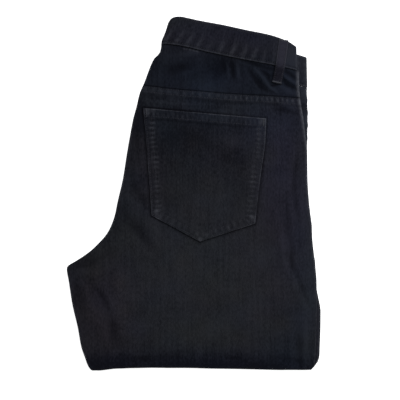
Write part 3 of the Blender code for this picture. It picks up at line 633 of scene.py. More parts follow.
def make_denim_group():
    group = bpy.data.node_groups.new("washed denim", "ShaderNodeTree")
    for name, kind, value in (
        ("Dye", "NodeSocketColor", (0.006, 0.0065, 0.011, 1)),
        ("Faded", "NodeSocketColor", (0.019, 0.019, 0.024, 1)),
        ("Rubbed and lit", "NodeSocketColor", (0.075, 0.078, 0.092, 1)),
        ("Heather", "NodeSocketFloat", 0.5),
    ):
        group.interface.new_socket(name, in_out="INPUT", socket_type=kind).default_value = value
    for name, kind in (("Colour", "NodeSocketColor"), ("Roughness", "NodeSocketFloat"),
                       ("Height", "NodeSocketFloat")):
        group.interface.new_socket(name, in_out="OUTPUT", socket_type=kind)
    start = add_node(group, "NodeGroupInput").outputs
    end = add_node(group, "NodeGroupOutput").inputs
    flat = add_node(group, "ShaderNodeUVMap", uv_map="cloth").outputs[0]
    masks = {
        name: add_node(group, "ShaderNodeAttribute", attribute_name=name).outputs["Fac"]
        for name in ("fade_and_shading", "tint", "violet", "wear_and_highlight", "painted_shade")
    }

    yarn = noise(group, scaled(group, flat, (1.0, 0.45, 1.0)), 520.0)
    streak = noise(group, scaled(group, flat, (1.0, 0.05, 1.0)), 240.0, 3.0)
    patch = noise(group, flat, 42.0, 4.0, 0.65)
    grain = calculate(group, "MULTIPLY", calculate(group, "SUBTRACT", yarn, 0.5), 1.5)
    slub = calculate(group, "MULTIPLY", calculate(group, "SUBTRACT", streak, 0.5), 0.8)
    uneven = calculate(group, "MULTIPLY", calculate(group, "ADD", grain, slub), start["Heather"])
    drift = calculate(group, "MULTIPLY", calculate(group, "SUBTRACT", patch, 0.5), 0.8)
    fade_and_shading = calculate(group, "ADD", masks["fade_and_shading"], calculate(group, "ADD", uneven, drift))
    fade_and_shading = calculate(group, "MAXIMUM", calculate(group, "MINIMUM", fade_and_shading, 1.7), 0.0)
    colour = mix(group, fade_and_shading, start["Dye"], start["Faded"])
    blue = mix(group, masks["tint"], (1.06, 1.02, 0.94, 1), (0.80, 0.97, 1.34, 1))
    colour = mix(group, 1.0, colour, blue, "MULTIPLY")
    violet = mix(group, masks["violet"], (0.98, 1.02, 0.99, 1), (1.07, 0.94, 1.06, 1))
    colour = mix(group, 1.0, colour, violet, "MULTIPLY")

    # Paler where the cloth is rubbed, and painted highlights on ripple crests and lit edges.
    rub_and_highlight = calculate(group, "MULTIPLY", masks["wear_and_highlight"], calculate(group, "ADD", 0.7, uneven))
    rub_and_highlight = calculate(group, "MAXIMUM", calculate(group, "MINIMUM", rub_and_highlight, 1.0), 0.0)
    colour = mix(group, rub_and_highlight, colour, start["Rubbed and lit"])
    # Painted shade: creases, seam lines and crevices are mixed towards a near black.
    painted_shade_share = calculate(group, "MULTIPLY", masks["painted_shade"], 0.8)
    colour = mix(group, painted_shade_share, colour, (0.0012, 0.0013, 0.0026, 1))

    split = add_node(group, "ShaderNodeSeparateXYZ")
    group.links.new(flat, split.inputs[0])
    slant = calculate(group, "ADD", split.outputs[0], calculate(group, "MULTIPLY", split.outputs[1], 1.6))
    lines = calculate(group, "SINE", calculate(group, "MULTIPLY", slant, 2 * math.pi / TWILL_PITCH))
    height = calculate(group, "MULTIPLY_ADD", lines, 0.3, calculate(group, "MULTIPLY", yarn, 1.4))
    dark_lines = calculate(group, "MULTIPLY_ADD", lines, 0.07, 0.93)
    tinted = mix(group, 1.0, colour, dark_lines, "MULTIPLY")
    group.links.new(tinted, end["Colour"])
    group.links.new(calculate(group, "MULTIPLY_ADD", yarn, 0.16, 0.8), end["Roughness"])
    group.links.new(height, end["Height"])
    return group


denim_group = make_denim_group()
print("denim group:", len(denim_group.nodes), "nodes")

# %% [markdown]
# ## One denim for each panel
# The pieces of a pair of jeans come from one roll, yet they wash differently: the yoke stays
# dark, the band and pocket fade a little, and the thigh fades most. The shine stays in the
# material. Black cloth reflects so little that even a faint gloss would grey it.

# %% The denims and the thread
WEAVE_HEIGHT = 0.00035


def denim(name, dye, faded, rubbed_and_lit=(0.075, 0.078, 0.092), heather=0.95, bump_strength=0.45):
    material = bpy.data.materials.new(name)
    material.use_nodes = True
    tree = material.node_tree
    shader = tree.nodes["Principled BSDF"]
    weave = add_node(tree, "ShaderNodeGroup", node_tree=denim_group)
    set_inputs(weave, {"Dye": (*dye, 1), "Faded": (*faded, 1), "Rubbed and lit": (*rubbed_and_lit, 1),
                       "Heather": heather})
    relief = add_node(tree, "ShaderNodeBump")
    set_inputs(relief, {"Strength": bump_strength, "Distance": WEAVE_HEIGHT})
    tree.links.new(weave.outputs["Height"], relief.inputs["Height"])
    tree.links.new(weave.outputs["Colour"], shader.inputs["Base Color"])
    tree.links.new(weave.outputs["Roughness"], shader.inputs["Roughness"])
    tree.links.new(relief.outputs["Normal"], shader.inputs["Normal"])
    set_inputs(shader, {"Metallic": 0.0, "Specular IOR Level": 0.04, "Sheen Weight": 0.015,
                        "Sheen Roughness": 0.45, "Sheen Tint": (0.75, 0.78, 0.9, 1)})
    return material


band_denim = denim("band_denim", (0.0054, 0.0056, 0.0080), (0.0190, 0.0193, 0.0235))
loop_denim = denim("loop_denim", (0.0062, 0.0062, 0.0084), (0.0215, 0.0217, 0.0255))
yoke_denim = denim("yoke_denim", (0.0036, 0.0040, 0.0060), (0.0117, 0.0127, 0.0160))
panel_denim = denim("panel_denim", (0.0052, 0.0055, 0.0074), (0.0194, 0.0200, 0.0234))
pocket_denim = denim("pocket_denim", (0.0053, 0.0057, 0.0078), (0.0186, 0.0193, 0.0228))
inner_denim = denim("inner_denim", (0.0058, 0.0060, 0.0082), (0.0190, 0.0196, 0.0234))


def thread_material(name, dark, light):
    """Polyester thread: two tones of one colour, along the twist."""
    material = bpy.data.materials.new(name)
    material.use_nodes = True
    tree = material.node_tree
    shader = tree.nodes["Principled BSDF"]
    place = add_node(tree, "ShaderNodeTexCoord").outputs["Object"]
    tone = mix(tree, noise(tree, place, 900.0), (*dark, 1), (*light, 1))
    tree.links.new(tone, shader.inputs["Base Color"])
    set_inputs(shader, {"Roughness": 0.6, "Specular IOR Level": 0.2})
    return material


thread = thread_material("black_thread", (0.009, 0.009, 0.013), (0.022, 0.022, 0.029))
worn_thread = thread_material("worn_thread", (0.028, 0.030, 0.037), (0.052, 0.056, 0.066))

# %% [markdown]
# ## Rolled edges and the lower fold
# Where a leg lies flat, its cloth turns round a small radius at both sides. At the lower fold
# the whole leg turns round a larger one and comes back along the floor, and at the second
# fold it turns up again. One row of points after another follows that path, so the panel is
# a single cloth from the yoke seam to the second fold.

# %% Rows of a leg
def bezier(p0, p1, p2, p3, t):
    """Points and outward normals of a cubic in the YZ plane, each argument a pair."""
    y, z = (
        a * (1 - t) ** 3 + 3 * b * t * (1 - t) ** 2 + 3 * c * t * t * (1 - t) + d * t**3
        for a, b, c, d in zip(p0, p1, p2, p3)
    )
    run_y, run_z = (
        (b - a) * (1 - t) ** 2 + 2 * (c - b) * t * (1 - t) + (d - c) * t * t
        for a, b, c, d in zip(p0, p1, p2, p3)
    )
    length = np.hypot(run_y, run_z)
    return y, z, run_z / length, -run_y / length


def nose_row(x, t):
    """The lower fold's outer face: t from 0 to 1 above its tip, from 1 to 2 below."""
    tip = smooth(FOLD_LINE, x)
    start = tip + NOSE_ABOVE
    top = upper_face(x, start)
    middle = top / 2
    if t <= 1:
        return bezier((start, top), (start - NOSE_FLAT * NOSE_ABOVE, top),
                      (tip, middle + NOSE_FULL * (top - middle)), (tip, middle), t)
    return bezier((tip, middle), (tip, middle * (1 - NOSE_FULL)),
                  (tip + NOSE_BELOW / 3, 0.0 * x), (tip + NOSE_BELOW, 0.0 * x), t - 1)


def turn_row(x, t):
    """The second fold's outer face, from the floor up to its tip."""
    start, end = UNDER_TURN_START + 0 * x, UNDER_TURN_END + 0 * x
    height = UNDER_TURN_HEIGHT + 0 * x
    return bezier((start, 0 * x), (start + (end - start) * NOSE_FLAT, 0 * x),
                  (end, height * (1 - NOSE_FLAT)), (end, height), t)


def slanted(line, y, middle_x=50.0, last=SKEW_END):
    """A row at y that is parallel to a line near it and level further down."""
    at_middle = float(smooth(line, middle_x))
    share = np.clip((y - last) / (at_middle - last), 0.0, 1.0)
    return lambda x: y + share * (smooth(line, x) - at_middle)


def upper_row(line_y):
    return lambda x: (line_y(x), upper_face(x, line_y(x)), 0 * x, 0 * x + 1)


def seam_row(line, offset):
    return lambda x: smooth(line, x) + offset


def between(high, low, share):
    return lambda x: (1 - share) * high(x) + share * low(x)


# %% The rows in order, from the seam to the second fold
# How far round the lower fold, from 0 on top to 2 on the floor, the near half's outline holds.
NEAR_UNTIL = 0.8


def leg_rows(first_rows, panel_rows, nose_steps, floor_rows, turn_steps):
    """Each row with its two edges, and its share of the creases: 1 on top, 0 on the floor."""
    found = [(upper_row(line_y), near_left, near_right, 1.0) for line_y in first_rows]
    for y in panel_rows:
        found.append((upper_row(slanted(YOKE_SEAM, y)), near_left, near_right, 1.0))
    for step in range(2 * nose_steps + 1):
        t = step / nose_steps
        share = soft_step((t - NEAR_UNTIL) / (2 - NEAR_UNTIL))

        def left(y, share=share):
            return (1 - share) * near_left(y) + share * under_left(y)

        def right(y, share=share):
            return (1 - share) * near_right(y) + share * under_right(y)

        found.append((lambda x, t=t: nose_row(x, t), left, right, 1 - t / 2))
    for y in floor_rows:
        flat = (lambda x, y=y: (y + 0 * x, 0 * x, 0 * x, 0 * x - 1))
        found.append((flat, under_left, under_right, 0.0))
    for step in range(turn_steps + 1):
        t = step / turn_steps
        found.append((lambda x, t=t: turn_row(x, t), under_left, under_right, 0.0))
    return found


def edges_of(row, left, right):
    x_left, x_right = np.array(-100.0), np.array(140.0)
    for _ in range(12):
        x_left = left(row(x_left)[0])
        x_right = right(row(x_right)[0])
    return float(x_left), float(x_right)


# %% Half of a flattened leg, with its creases
FLOOR_HOLLOW = 0.4
FRONT_FOLLOWS = 12.0


def half_leg(name, rows, upper_count, shares, angles, under, relief_of, slot, material, *nodes):
    """A back panel (or, from under, a front panel) as a wall rolled at both edges."""
    turn = np.radians(angles)
    grids = {0.0: [], CLOTH: []}
    for row, left, right, _ in rows:
        x_left, x_right = edges_of(row, left, right)
        for offset, grid in grids.items():
            reach = TUBE_RADIUS - offset
            flat = x_left + TUBE_RADIUS + shares * (x_right - x_left - 2 * TUBE_RADIUS)
            x = np.r_[x_left + TUBE_RADIUS - reach * np.cos(turn), flat,
                      (x_right - TUBE_RADIUS + reach * np.cos(turn))[::-1]]
            rolled = TUBE_RADIUS - reach * np.sin(turn)
            depth = np.r_[rolled, 0 * flat + offset, rolled[::-1]]
            depth = np.minimum(depth, TUBE_RADIUS - SEAM_GAP / 2)
            if under:
                depth = LEG_TUBE + FRONT_DROP - depth
            grid.append(np.stack([x, *row(x), depth]))
    outer, inner = (np.array(grid).transpose(1, 0, 2) for grid in grids.values())
    x, y, z = outer[:3]
    unrolled = y.copy()
    steps = np.hypot(np.diff(y, axis=0), np.diff(z, axis=0))
    for i in range(upper_count, len(rows)):
        unrolled[i] = unrolled[i - 1] - steps[i - 1]
    on_top = np.array([row[3] for row in rows])[:, None]
    relief = relief_of(x, unrolled)
    edge = np.minimum(x - x[:, :1], x[:, -1:] - x)
    held = 1 - soft_step(edge / EDGE_HOLD)
    relief = np.where(relief < 0, relief * (1 - 0.8 * held), relief)
    if under:
        relief = relief * (1 - soft_step(edge / FRONT_FOLLOWS))
    relief = relief * on_top - FLOOR_HOLLOW * np.abs(relief) * (1 - on_top)
    points = []
    for grid in (outer, inner):
        gx, gy, gz, normal_y, normal_z, depth = grid
        out = relief - depth
        points.append(np.stack([gx, gy + out * normal_y, gz + out * normal_z], -1))
    masks = leg_masks(x, unrolled, edge)
    points = np.concatenate([grid.reshape(-1, 3) for grid in points])
    flat_pattern = np.stack([x, unrolled], -1).reshape(-1, 2)
    piece = cloth_piece(name, points, wall_faces(len(rows), x.shape[1]),
                        np.concatenate([flat_pattern, flat_pattern]),
                        {key: np.concatenate([m.ravel(), m.ravel()]) for key, m in masks.items()},
                        material)
    dress(piece, slot, *nodes)
    return piece


def crease_shade_at(x, y):
    """How far down in a crease a point lies, from 0 to 1, for painted shade in the crease."""
    return np.clip(-creases(x, y) - 0.1, 0, 1.1) / 1.3


def crease_highlight_at(x, y):
    """How high on a crease a point lies, from 0 to 1, for a painted highlight on its crest."""
    return np.clip(creases(x, y) - 0.2, 0, 1.2) / 1.2


POCKET_OUTLINE = POCKET_LEFT + (POCKET_TIP,) + POCKET_RIGHT[::-1] + POCKET_LEFT[:1]


def leg_masks(x, y, edge):
    """The five masks of a leg, from its flat pattern and the distance from its edges."""
    # Paler edges from rubbing, and a painted highlight along the right edge, which faces the light.
    wear_and_highlight = 0.34 * bump(edge, 3.2) * (0.8 + 0.6 * hills(x, y, 14.0, 31))
    right_edge = soft_step((x - 100) / 20) * bump(edge - 1.0, 4.0)
    lower = soft_step((y + 150) / 30)
    wear_and_highlight = wear_and_highlight * (1 - 0.7 * (1 - lower) * soft_step((x - 100) / 20))
    wear_and_highlight = wear_and_highlight + right_edge * (0.22 * lower + 0.5 * soft_step((y - 60) / 50))
    away = seam_away(x, y)
    # The felled seam: painted highlights on its ripples' crests and on the fell's edge.
    wave = seam_ripple(x) * (0.45 + 0.75 * soft_step((x - 40) / 50))
    on_fell = bump(away - 4.6, 4.2)
    wear_and_highlight = wear_and_highlight + 0.42 * np.clip(wave, 0, 1) * on_fell + 0.08 * bump(away - FELL_WIDTH, 1.2)
    # Painted shade round the pocket, in the seam's crevice and ripples' troughs, below the fell, and in
    # the creases.
    ring = along_line(x, y, POCKET_OUTLINE)[0]
    above_mouth = soft_step((y - 96.0) / 8.0) * soft_step((60 - x) / 90)
    painted_shade = crease_shade_at(x, y) + (0.6 + 0.5 * above_mouth) * bump(ring - 1.2, 2.7)
    painted_shade = painted_shade + 0.45 * np.clip(-wave, 0, 1) * on_fell + 0.45 * bump(away - 1.2, 1.3)
    painted_shade = painted_shade + 0.35 * bump(away - FELL_WIDTH - 1.6, 2.2)
    # Crease crests get a painted highlight.
    fade_and_shading = fade_and_shading_at(x, y) + 0.45 * crease_highlight_at(x, y)
    return {"fade_and_shading": fade_and_shading, "tint": tint_at(x, y), "violet": violet_at(x, y), "wear_and_highlight": wear_and_highlight,
            "painted_shade": painted_shade}


# %% [markdown]
# ## Back panel
# The back panel is the largest piece: it runs from the felled yoke seam over the thigh, round
# the lower fold and back along the floor. A felled seam is folded into itself and sewn down
# twice, so the cloth is thicker for its width below the seam. Rows lie close there and at the
# fold, and wider apart where the cloth is flat.

# %% Make the back panel
FELL_OFFSETS = (0.15, 0.5, 1.2, 2.2, 3.4, 4.6, 5.8, 7.0, 8.0, 8.7, 9.2, 9.7, 10.4, 11.6)
ROW_STEP = 2.6
FELL_EDGE = 0.7
ROLL_ANGLES = (0.0, 18.0, 36.0, 54.0, 72.0)


def panel_relief(x, y):
    away = seam_away(x, y)
    fell = FELL_RISE * (1 - soft_step((away - FELL_WIDTH + FELL_EDGE) / (2 * FELL_EDGE)))
    groove = 0.22 * (bump(away - 1.6, 1.2) + bump(away - FELL_WIDTH + 1.4, 1.2))
    return cloth_relief(x, y) + fell - groove


first = [seam_row(YOKE_SEAM, -offset) for offset in FELL_OFFSETS]
panel_rows = np.r_[np.arange(117.0, 96.0, -ROW_STEP / 2), np.arange(95.0, -193.0, -ROW_STEP)]
rows = leg_rows(first, panel_rows, 12, np.arange(-208.0, 115.0, 12.0), 6)
back_panel = half_leg(
    "back_panel_cloth", rows, len(first) + len(panel_rows), np.linspace(0, 1, 221),
    ROLL_ANGLES, False, panel_relief, "panel_denim", panel_denim, "back_panel",
)

# %% [markdown]
# ## Front panel
# The front panel is the other half of the same leg. Only its rolled edges show, at the inseam
# and the side seam, a hair's breadth from the back panel's. It is built by the same steps
# from below, with wider rows because it is hidden.

# %% Make the front panel
high = seam_row(BAND_LOW, -3 * SEAM_GAP)
low = seam_row(YOKE_SEAM, 0.0)
first = [between(high, low, share) for share in np.linspace(0.0, 1.0, 16)]
panel_rows = np.arange(120.0, -191.0, -2 * ROW_STEP)
rows = leg_rows(first, panel_rows, 10, np.arange(-208.0, 115.0, 9.0), 5)
front_shares = np.r_[np.linspace(0, 0.06, 6), np.linspace(0.08, 0.92, 40),
                     np.linspace(0.94, 1, 6)]
front_panel = half_leg(
    "front_panel_cloth", rows, len(first) + len(panel_rows), front_shares,
    ROLL_ANGLES, True, cloth_relief, "panel_denim", inner_denim, "front_panel",
)

# %% [markdown]
# ## Yoke
# The yoke is the shaped strip between the waistband and the felled seam, and it gives jeans
# their fit over the hips. Here it stayed darker than the rest, and short creases run down
# from the band and slantwise round the belt loop.

# %% Make the yoke
def rolled_row(row, left, right, shares, angles, offset, radius=TUBE_RADIUS):
    """One row across the near half, rolled at both edges: x, y, z, depth."""
    x_left, x_right = edges_of(row, left, right)
    turn = np.radians(angles)
    reach = radius - offset
    flat = x_left + radius + shares * (x_right - x_left - 2 * radius)
    x = np.r_[x_left + radius - reach * np.cos(turn), flat,
              (x_right - radius + reach * np.cos(turn))[::-1]]
    rolled = radius - reach * np.sin(turn)
    depth = np.minimum(np.r_[rolled, 0 * flat + offset, rolled[::-1]], radius - SEAM_GAP / 2)
    y, z, _, _ = row(x)
    return np.stack([x, y, z - depth])


def wall_piece(name, outer, inner, flat, masks, slot, material, *nodes):
    """A wall from two grids of points, with its flat pattern and masks by grid."""
    points = np.concatenate([outer.reshape(-1, 3), inner.reshape(-1, 3)])
    pattern = flat.reshape(-1, 2)
    piece = cloth_piece(name, points, wall_faces(*outer.shape[:2]),
                        np.concatenate([pattern, pattern]),
                        {key: np.concatenate([m.ravel(), m.ravel()]) for key, m in masks.items()},
                        material)
    dress(piece, slot, *nodes)
    return piece


high = seam_row(BAND_LOW, -SEAM_GAP - 0.1)
low = seam_row(YOKE_SEAM, SEAM_GAP / 2)
grids = {0.0: [], CLOTH: []}
for share in np.linspace(0.0, 1.0, 62):
    row = upper_row(between(high, low, share))
    for offset, grid in grids.items():
        grid.append(rolled_row(row, near_left, near_right, np.linspace(0, 1, 150),
                               ROLL_ANGLES, offset))
outer, inner = (np.array(grid).transpose(0, 2, 1) for grid in grids.values())
yoke_x, yoke_y = outer[..., 0], outer[..., 1]
edge = np.minimum(yoke_x - yoke_x[:, :1], yoke_x[:, -1:] - yoke_x)
relief = cloth_relief(yoke_x, yoke_y)
relief = np.where(relief < 0, relief * (1 - 0.8 * (1 - soft_step(edge / EDGE_HOLD))), relief)
outer[..., 2] += relief
inner[..., 2] += relief
band_away = smooth(BAND_LOW, yoke_x) - yoke_y
# Painted highlight over the wear along the lit right edge, and a painted glint below the band.
right_side = soft_step((yoke_x - 60) / 40)
yoke_wear_and_highlight = 0.75 * bump(edge - 1.0, 4.5) * right_side + 0.16 * bump(edge, 3.5)
glint = along_line(yoke_x, yoke_y, ((-13, 191.5), (-2, 189.6), (6, 187.4)))[0]
yoke_wear_and_highlight += 0.30 * bump(glint, 1.8)
# Painted shade in the creases, below the band, at the yoke seam, and as the belt loop's shadow at its
# foot and left side.
yoke_painted_shade = crease_shade_at(yoke_x, yoke_y) + 0.75 * bump(band_away, 3.2)
yoke_painted_shade += 0.9 * bump(yoke_y - smooth(YOKE_SEAM, yoke_x), 2.4)
loop_foot = along_line(yoke_x, yoke_y, ((103.4, 142.6), (115.2, 144.6)))[0]
loop_side = along_line(yoke_x, yoke_y, ((107.0, 170.0), (103.6, 147.0)))[0]
yoke_painted_shade += 0.9 * bump(loop_foot, 3.0) + 0.7 * bump(loop_side, 2.4)
# Crease crests get a painted highlight.
yoke = wall_piece(
    "yoke_cloth", outer, inner, outer[..., :2],
    {"fade_and_shading": fade_and_shading_at(yoke_x, yoke_y) + 0.9 * crease_highlight_at(yoke_x, yoke_y),
     "tint": tint_at(yoke_x, yoke_y), "violet": violet_at(yoke_x, yoke_y), "wear_and_highlight": yoke_wear_and_highlight,
     "painted_shade": yoke_painted_shade},
    "yoke_denim", yoke_denim, "back_yoke",
)

# %% [markdown]
# ## Back pocket
# The patch pocket is cut with five corners, its edges are turned in and sewn down twice, and
# its mouth has a deeper hem. The turned-in cloth makes the edge thicker, and the two rows of
# thread draw it up into short ripples like the rungs of a ladder. It lies on the panel, so
# its points are the panel's own, moved out.

# %% The pocket's outline and its distances
POCKET_SIZE = (162.0, 172.0)


def pocket_point(u, v):
    """A point of the pocket: u from its left side to its right, v from its mouth to its foot."""

    def side(corners, share):
        corners = np.array(corners)
        run = np.r_[0, np.cumsum(np.hypot(*np.diff(corners, axis=0).T))]
        at = share * run[-1]
        return np.stack([np.interp(at, run, corners[:, 0]), np.interp(at, run, corners[:, 1])], -1)

    u, v = np.asarray(u, float)[..., None], np.asarray(v, float)[..., None]
    left, right = side(POCKET_LEFT, v[..., 0]), side(POCKET_RIGHT, v[..., 0])
    mouth = (1 - u) * np.array(POCKET_LEFT[0]) + u * np.array(POCKET_RIGHT[0])
    feet = np.array((POCKET_LEFT[-1], POCKET_TIP, POCKET_RIGHT[-1]))
    foot = np.stack([np.interp(u[..., 0], (0, POCKET_TIP_SHARE, 1), feet[:, k]) for k in (0, 1)], -1)
    corners = (1 - v) * mouth + v * ((1 - u) * feet[0] + u * feet[2])
    return (1 - u) * left + u * right + (1 - v) * mouth + v * foot - corners


def pocket_parts(x, y):
    """Distance from the mouth, the left, right and foot edges, and places along them."""
    mouth, mouth_place, _ = along_line(x, y, (POCKET_LEFT[0], POCKET_RIGHT[0]))
    left, left_place, _ = along_line(x, y, POCKET_LEFT)
    right, right_place, _ = along_line(x, y, POCKET_RIGHT)
    foot, foot_place, _ = along_line(x, y, (POCKET_LEFT[-1], POCKET_TIP, POCKET_RIGHT[-1]))
    return (mouth, mouth_place), (left, left_place), (right, right_place), (foot, foot_place)


# %% The pocket's face
EDGE_STITCH = 2.4
INNER_STITCH = 9.2
STITCH_GROOVE = 0.2
# How far in from each edge the rungs lie, and how far apart they are.
LEFT_RUNGS, RIGHT_RUNGS, FOOT_RUNGS, MOUTH_RUNGS = 9.5, 8.5, 7.0, 6.5
RUNG_WAVE = 6.4
FOOT_WAVE = 8.6
# Places at the pocket's corners where the dye is rubbed off: x, y, reach, strength.
POCKET_GLINTS = (
    (-60.5, 109.0, 8.0, 0.26), (-53.0, 109.5, 5.0, 0.22), (91.0, 95.0, 8.0, 0.38),
    (8.6, -60.0, 4.5, 0.55), (-48.0, -24.0, 6.0, 0.34), (76.5, -31.0, 6.0, 0.36),
    (6.0, -53.0, 5.0, 0.2), (18.0, -54.0, 4.0, 0.2),
)


def pocket_face(x, y):
    """Height of the pocket above its underside, its mask of paler edges and painted highlights, and its
    mask of painted shade.
    """
    (mouth, mouth_at), (left, left_at), (right, right_at), (foot, foot_at) = pocket_parts(x, y)
    sides = np.minimum(np.minimum(left, right), foot)
    rise = POCKET_TURN_IN_RISE * (1 - soft_step((sides - POCKET_TURN_IN + 1.0) / 2.2))
    hem = 1 - soft_step((mouth - POCKET_HEM + 0.6) / 1.6)
    rise = rise + (POCKET_HEM_RISE - rise) * hem
    below_hem = 1 - hem
    rungs = (
        bump(left - LEFT_RUNGS, 7.5) * ripple(left_at, RUNG_WAVE, 51)
        + bump(right - RIGHT_RUNGS, 7.5) * ripple(right_at, RUNG_WAVE, 57)
        + bump(foot - FOOT_RUNGS, 7.0) * ripple(foot_at, FOOT_WAVE, 63) * 0.8
    ) * below_hem
    rungs = rungs + bump(mouth - MOUTH_RUNGS, 6.5) * ripple(mouth_at, RUNG_WAVE, 69)
    rise = rise + 0.32 * rungs
    for away in (sides - EDGE_STITCH, sides - INNER_STITCH):
        rise = rise - STITCH_GROOVE * bump(away, 1.1) * below_hem
    rise = rise - STITCH_GROOVE * bump(mouth - POCKET_HEM + 2.0, 1.1)
    border = np.minimum(sides, mouth)
    rise = rise - 0.55 * (1 - soft_step(border / 1.3))
    # Paler edges from rubbing, stronger on the right, and painted highlights on the ripples' crests.
    rubbed_and_lit = 0.42 + 0.22 * soft_step((x - 50) / 20)
    wear_and_highlight = rubbed_and_lit * bump(border, 1.5) * (0.8 + 0.6 * hills(x, y, 16.0, 71))
    strip = np.maximum(bump(left - LEFT_RUNGS, 8.0), bump(right - RIGHT_RUNGS, 7.0)) * below_hem
    uneven = np.clip(0.9 + 1.1 * hills(x, y, 13.0, 88), 0.2, 1.9)
    wear_and_highlight = wear_and_highlight + 0.24 * uneven * np.clip(rungs, 0, 1) + 0.07 * strip
    for corner_x, corner_y, reach, more in POCKET_GLINTS:
        wear_and_highlight = wear_and_highlight + more * bump(np.hypot(x - corner_x, y - corner_y), reach)
    # Painted shade in the ripples' troughs, along the left edge and under the hem.
    painted_shade = 0.42 * np.clip(-rungs, 0, 1) + 0.18 * bump(left - 4.0, 2.0) * below_hem
    painted_shade = painted_shade + 0.55 * bump(mouth - POCKET_HEM - 1.5, 2.4) * soft_step((90 - x) / 60)
    return rise, wear_and_highlight, painted_shade


def edge_spacing(length, inner_step, edge_steps):
    """Shares of a length that lie close together near both ends."""
    middle = np.linspace(edge_steps[-1], length - edge_steps[-1],
                         int(round((length - 2 * edge_steps[-1]) / inner_step)))
    steps = np.array(edge_steps[:-1])
    return np.r_[steps, middle, (length - steps)[::-1]] / length


POCKET_EDGE = (0.0, 0.35, 0.8, 1.4, 2.1)
across = np.unique(np.r_[edge_spacing(POCKET_SIZE[0], 1.45, POCKET_EDGE), POCKET_TIP_SHARE])
down = edge_spacing(POCKET_SIZE[1], 1.45, POCKET_EDGE)
place = pocket_point(*np.meshgrid(across, down))
pocket_x, pocket_y = place[..., 0], place[..., 1]


def pocket_base(x, y):
    """Underside of the pocket: the panel's face and a little air."""
    return upper_face(x, y) + panel_relief(x, y) + LAYER_GAP


rise, wear_and_highlight, painted_shade = pocket_face(pocket_x, pocket_y)
under = pocket_base(pocket_x, pocket_y)
outer = np.stack([pocket_x, pocket_y, under + CLOTH + rise], -1)
inner = np.stack([pocket_x, pocket_y, under], -1)
pocket = wall_piece(
    "pocket_cloth", outer, inner, outer[..., :2],
    {"fade_and_shading": fade_and_shading_at(pocket_x, pocket_y), "tint": tint_at(pocket_x, pocket_y),
     "violet": violet_at(pocket_x, pocket_y), "wear_and_highlight": wear_and_highlight,
     "painted_shade": painted_shade + 0.7 * crease_shade_at(pocket_x, pocket_y)},
    "pocket_denim", pocket_denim, "back_pocket",
)

# %% [markdown]
# ## Waistband
# The band is one long strip sewn into a ring. Folded with the garment it lies in four layers:
# the near back and front, then the far front and back, joined by tight folds at both ends.
# The cross section of one layer is carried along that path, which keeps the ring in one
# piece. Ripples rise from its lower seam, where the longer yoke was eased into it.

# %% The band's path
BAND_RIM = (0.0, 0.3, 0.8, 1.6, 3.0)
BAND_RIM_WALL = (0.35, 0.72, 0.92, 1.0, 1.0)


def band_path():
    """The folded ring from its top edge: place along it, height, near share, how much shows."""
    near_end = BAND_NEAR_WIDTH - (BAND_LEVELS[0] - BAND_LEVELS[1]) / 2 - BAND_WALL / 2
    far_end = BAND_FAR_WIDTH - (BAND_LEVELS[2] - BAND_LEVELS[3]) / 2 - BAND_WALL / 2
    start = (BAND_LEVELS[0] - BAND_LEVELS[3]) / 2 + BAND_WALL / 2
    one, two, three, four = BAND_LEVELS
    path = []

    def layer(first_place, last_place, level, count, share, shows):
        for at in np.linspace(first_place, last_place, count):
            path.append((at, level, share, shows))

    def fold(at, top, bottom, side, count, shares, shows):
        radius = abs(top - bottom) / 2
        for step in range(1, count):
            turn = math.pi * step / count
            share = shares[0] + (shares[1] - shares[0]) * (1 - math.cos(turn)) / 2
            level = (top + bottom) / 2 + (top - bottom) / 2 * math.cos(turn)
            path.append((at + side * radius * math.sin(turn), level, share, shows))

    layer(start, near_end, one, 130, 1.0, 1.0)
    fold(near_end, one, two, 1, 9, (1.0, 1.0), 0.2)
    layer(near_end, start, two, 50, 1.0, 0.2)
    fold(start, two, three, -1, 7, (1.0, 0.0), 0.2)
    layer(start, far_end, three, 60, 0.0, 0.2)
    fold(far_end, three, four, 1, 9, (0.0, 0.0), 0.2)
    layer(far_end, start, four, 60, 0.0, 0.2)
    fold(start, four, one, -1, 14, (0.0, 1.0), 0.5)
    return np.array(path)


BULGE = ((0.0, 0.6), (0.2, 2.8), (0.4, 3.0), (0.6, 3.8), (0.8, 4.8), (0.92, 4.2), (1.0, 1.2))
BULGE_REACH = 16.0


def band_place(at, share, height):
    """Where a point of the band lies, between its seam and its top edge."""
    bulge = smooth(BULGE, height) * np.exp(-np.maximum(at, 0) / BULGE_REACH)

    def half(low_line, top_line, width):
        t = at / width
        low_x = low_line[0][0] + (low_line[-1][0] - low_line[0][0]) * t
        top_x = top_line[0][0] + (top_line[-1][0] - top_line[0][0]) * t
        x = (1 - height) * low_x + height * top_x
        y = (1 - height) * smooth(low_line, low_x) + height * smooth(top_line, top_x)
        return x - bulge, y

    near = half(BAND_LOW, BAND_TOP, BAND_NEAR_WIDTH)
    far = half(FAR_BAND_LOW, FAR_BAND_TOP, BAND_FAR_WIDTH)
    return [share * n + (1 - share) * f for n, f in zip(near, far)]


# %% The band's ripples
BAND_STITCH = 3.4
BAND_WAVE = 14.5


def band_rise(at, height):
    """Ripples from the lower seam, two sewn grooves and unevenness; also the ripples alone."""
    wave = ripple(at - 9.0 * height, BAND_WAVE, 81) * (0.75 + 0.8 * hills(at, 0 * at, 38.0, 85))
    lower = 1 - soft_step((height - 0.22) / 0.42)
    wave = wave * lower * (1 - 0.55 * bump(height, 0.12))
    up = height * BAND_HEIGHT
    rise = 0.60 * wave + 0.36 * hills(at, up, 34.0, 83)
    rise = rise - 0.28 * bump(up - BAND_STITCH, 1.2)
    rise = rise - 0.16 * bump(up - BAND_HEIGHT + BAND_STITCH, 1.2)
    under_loop = bump(at - 158.0, 16.0)
    return rise * (1 - 0.7 * under_loop), wave


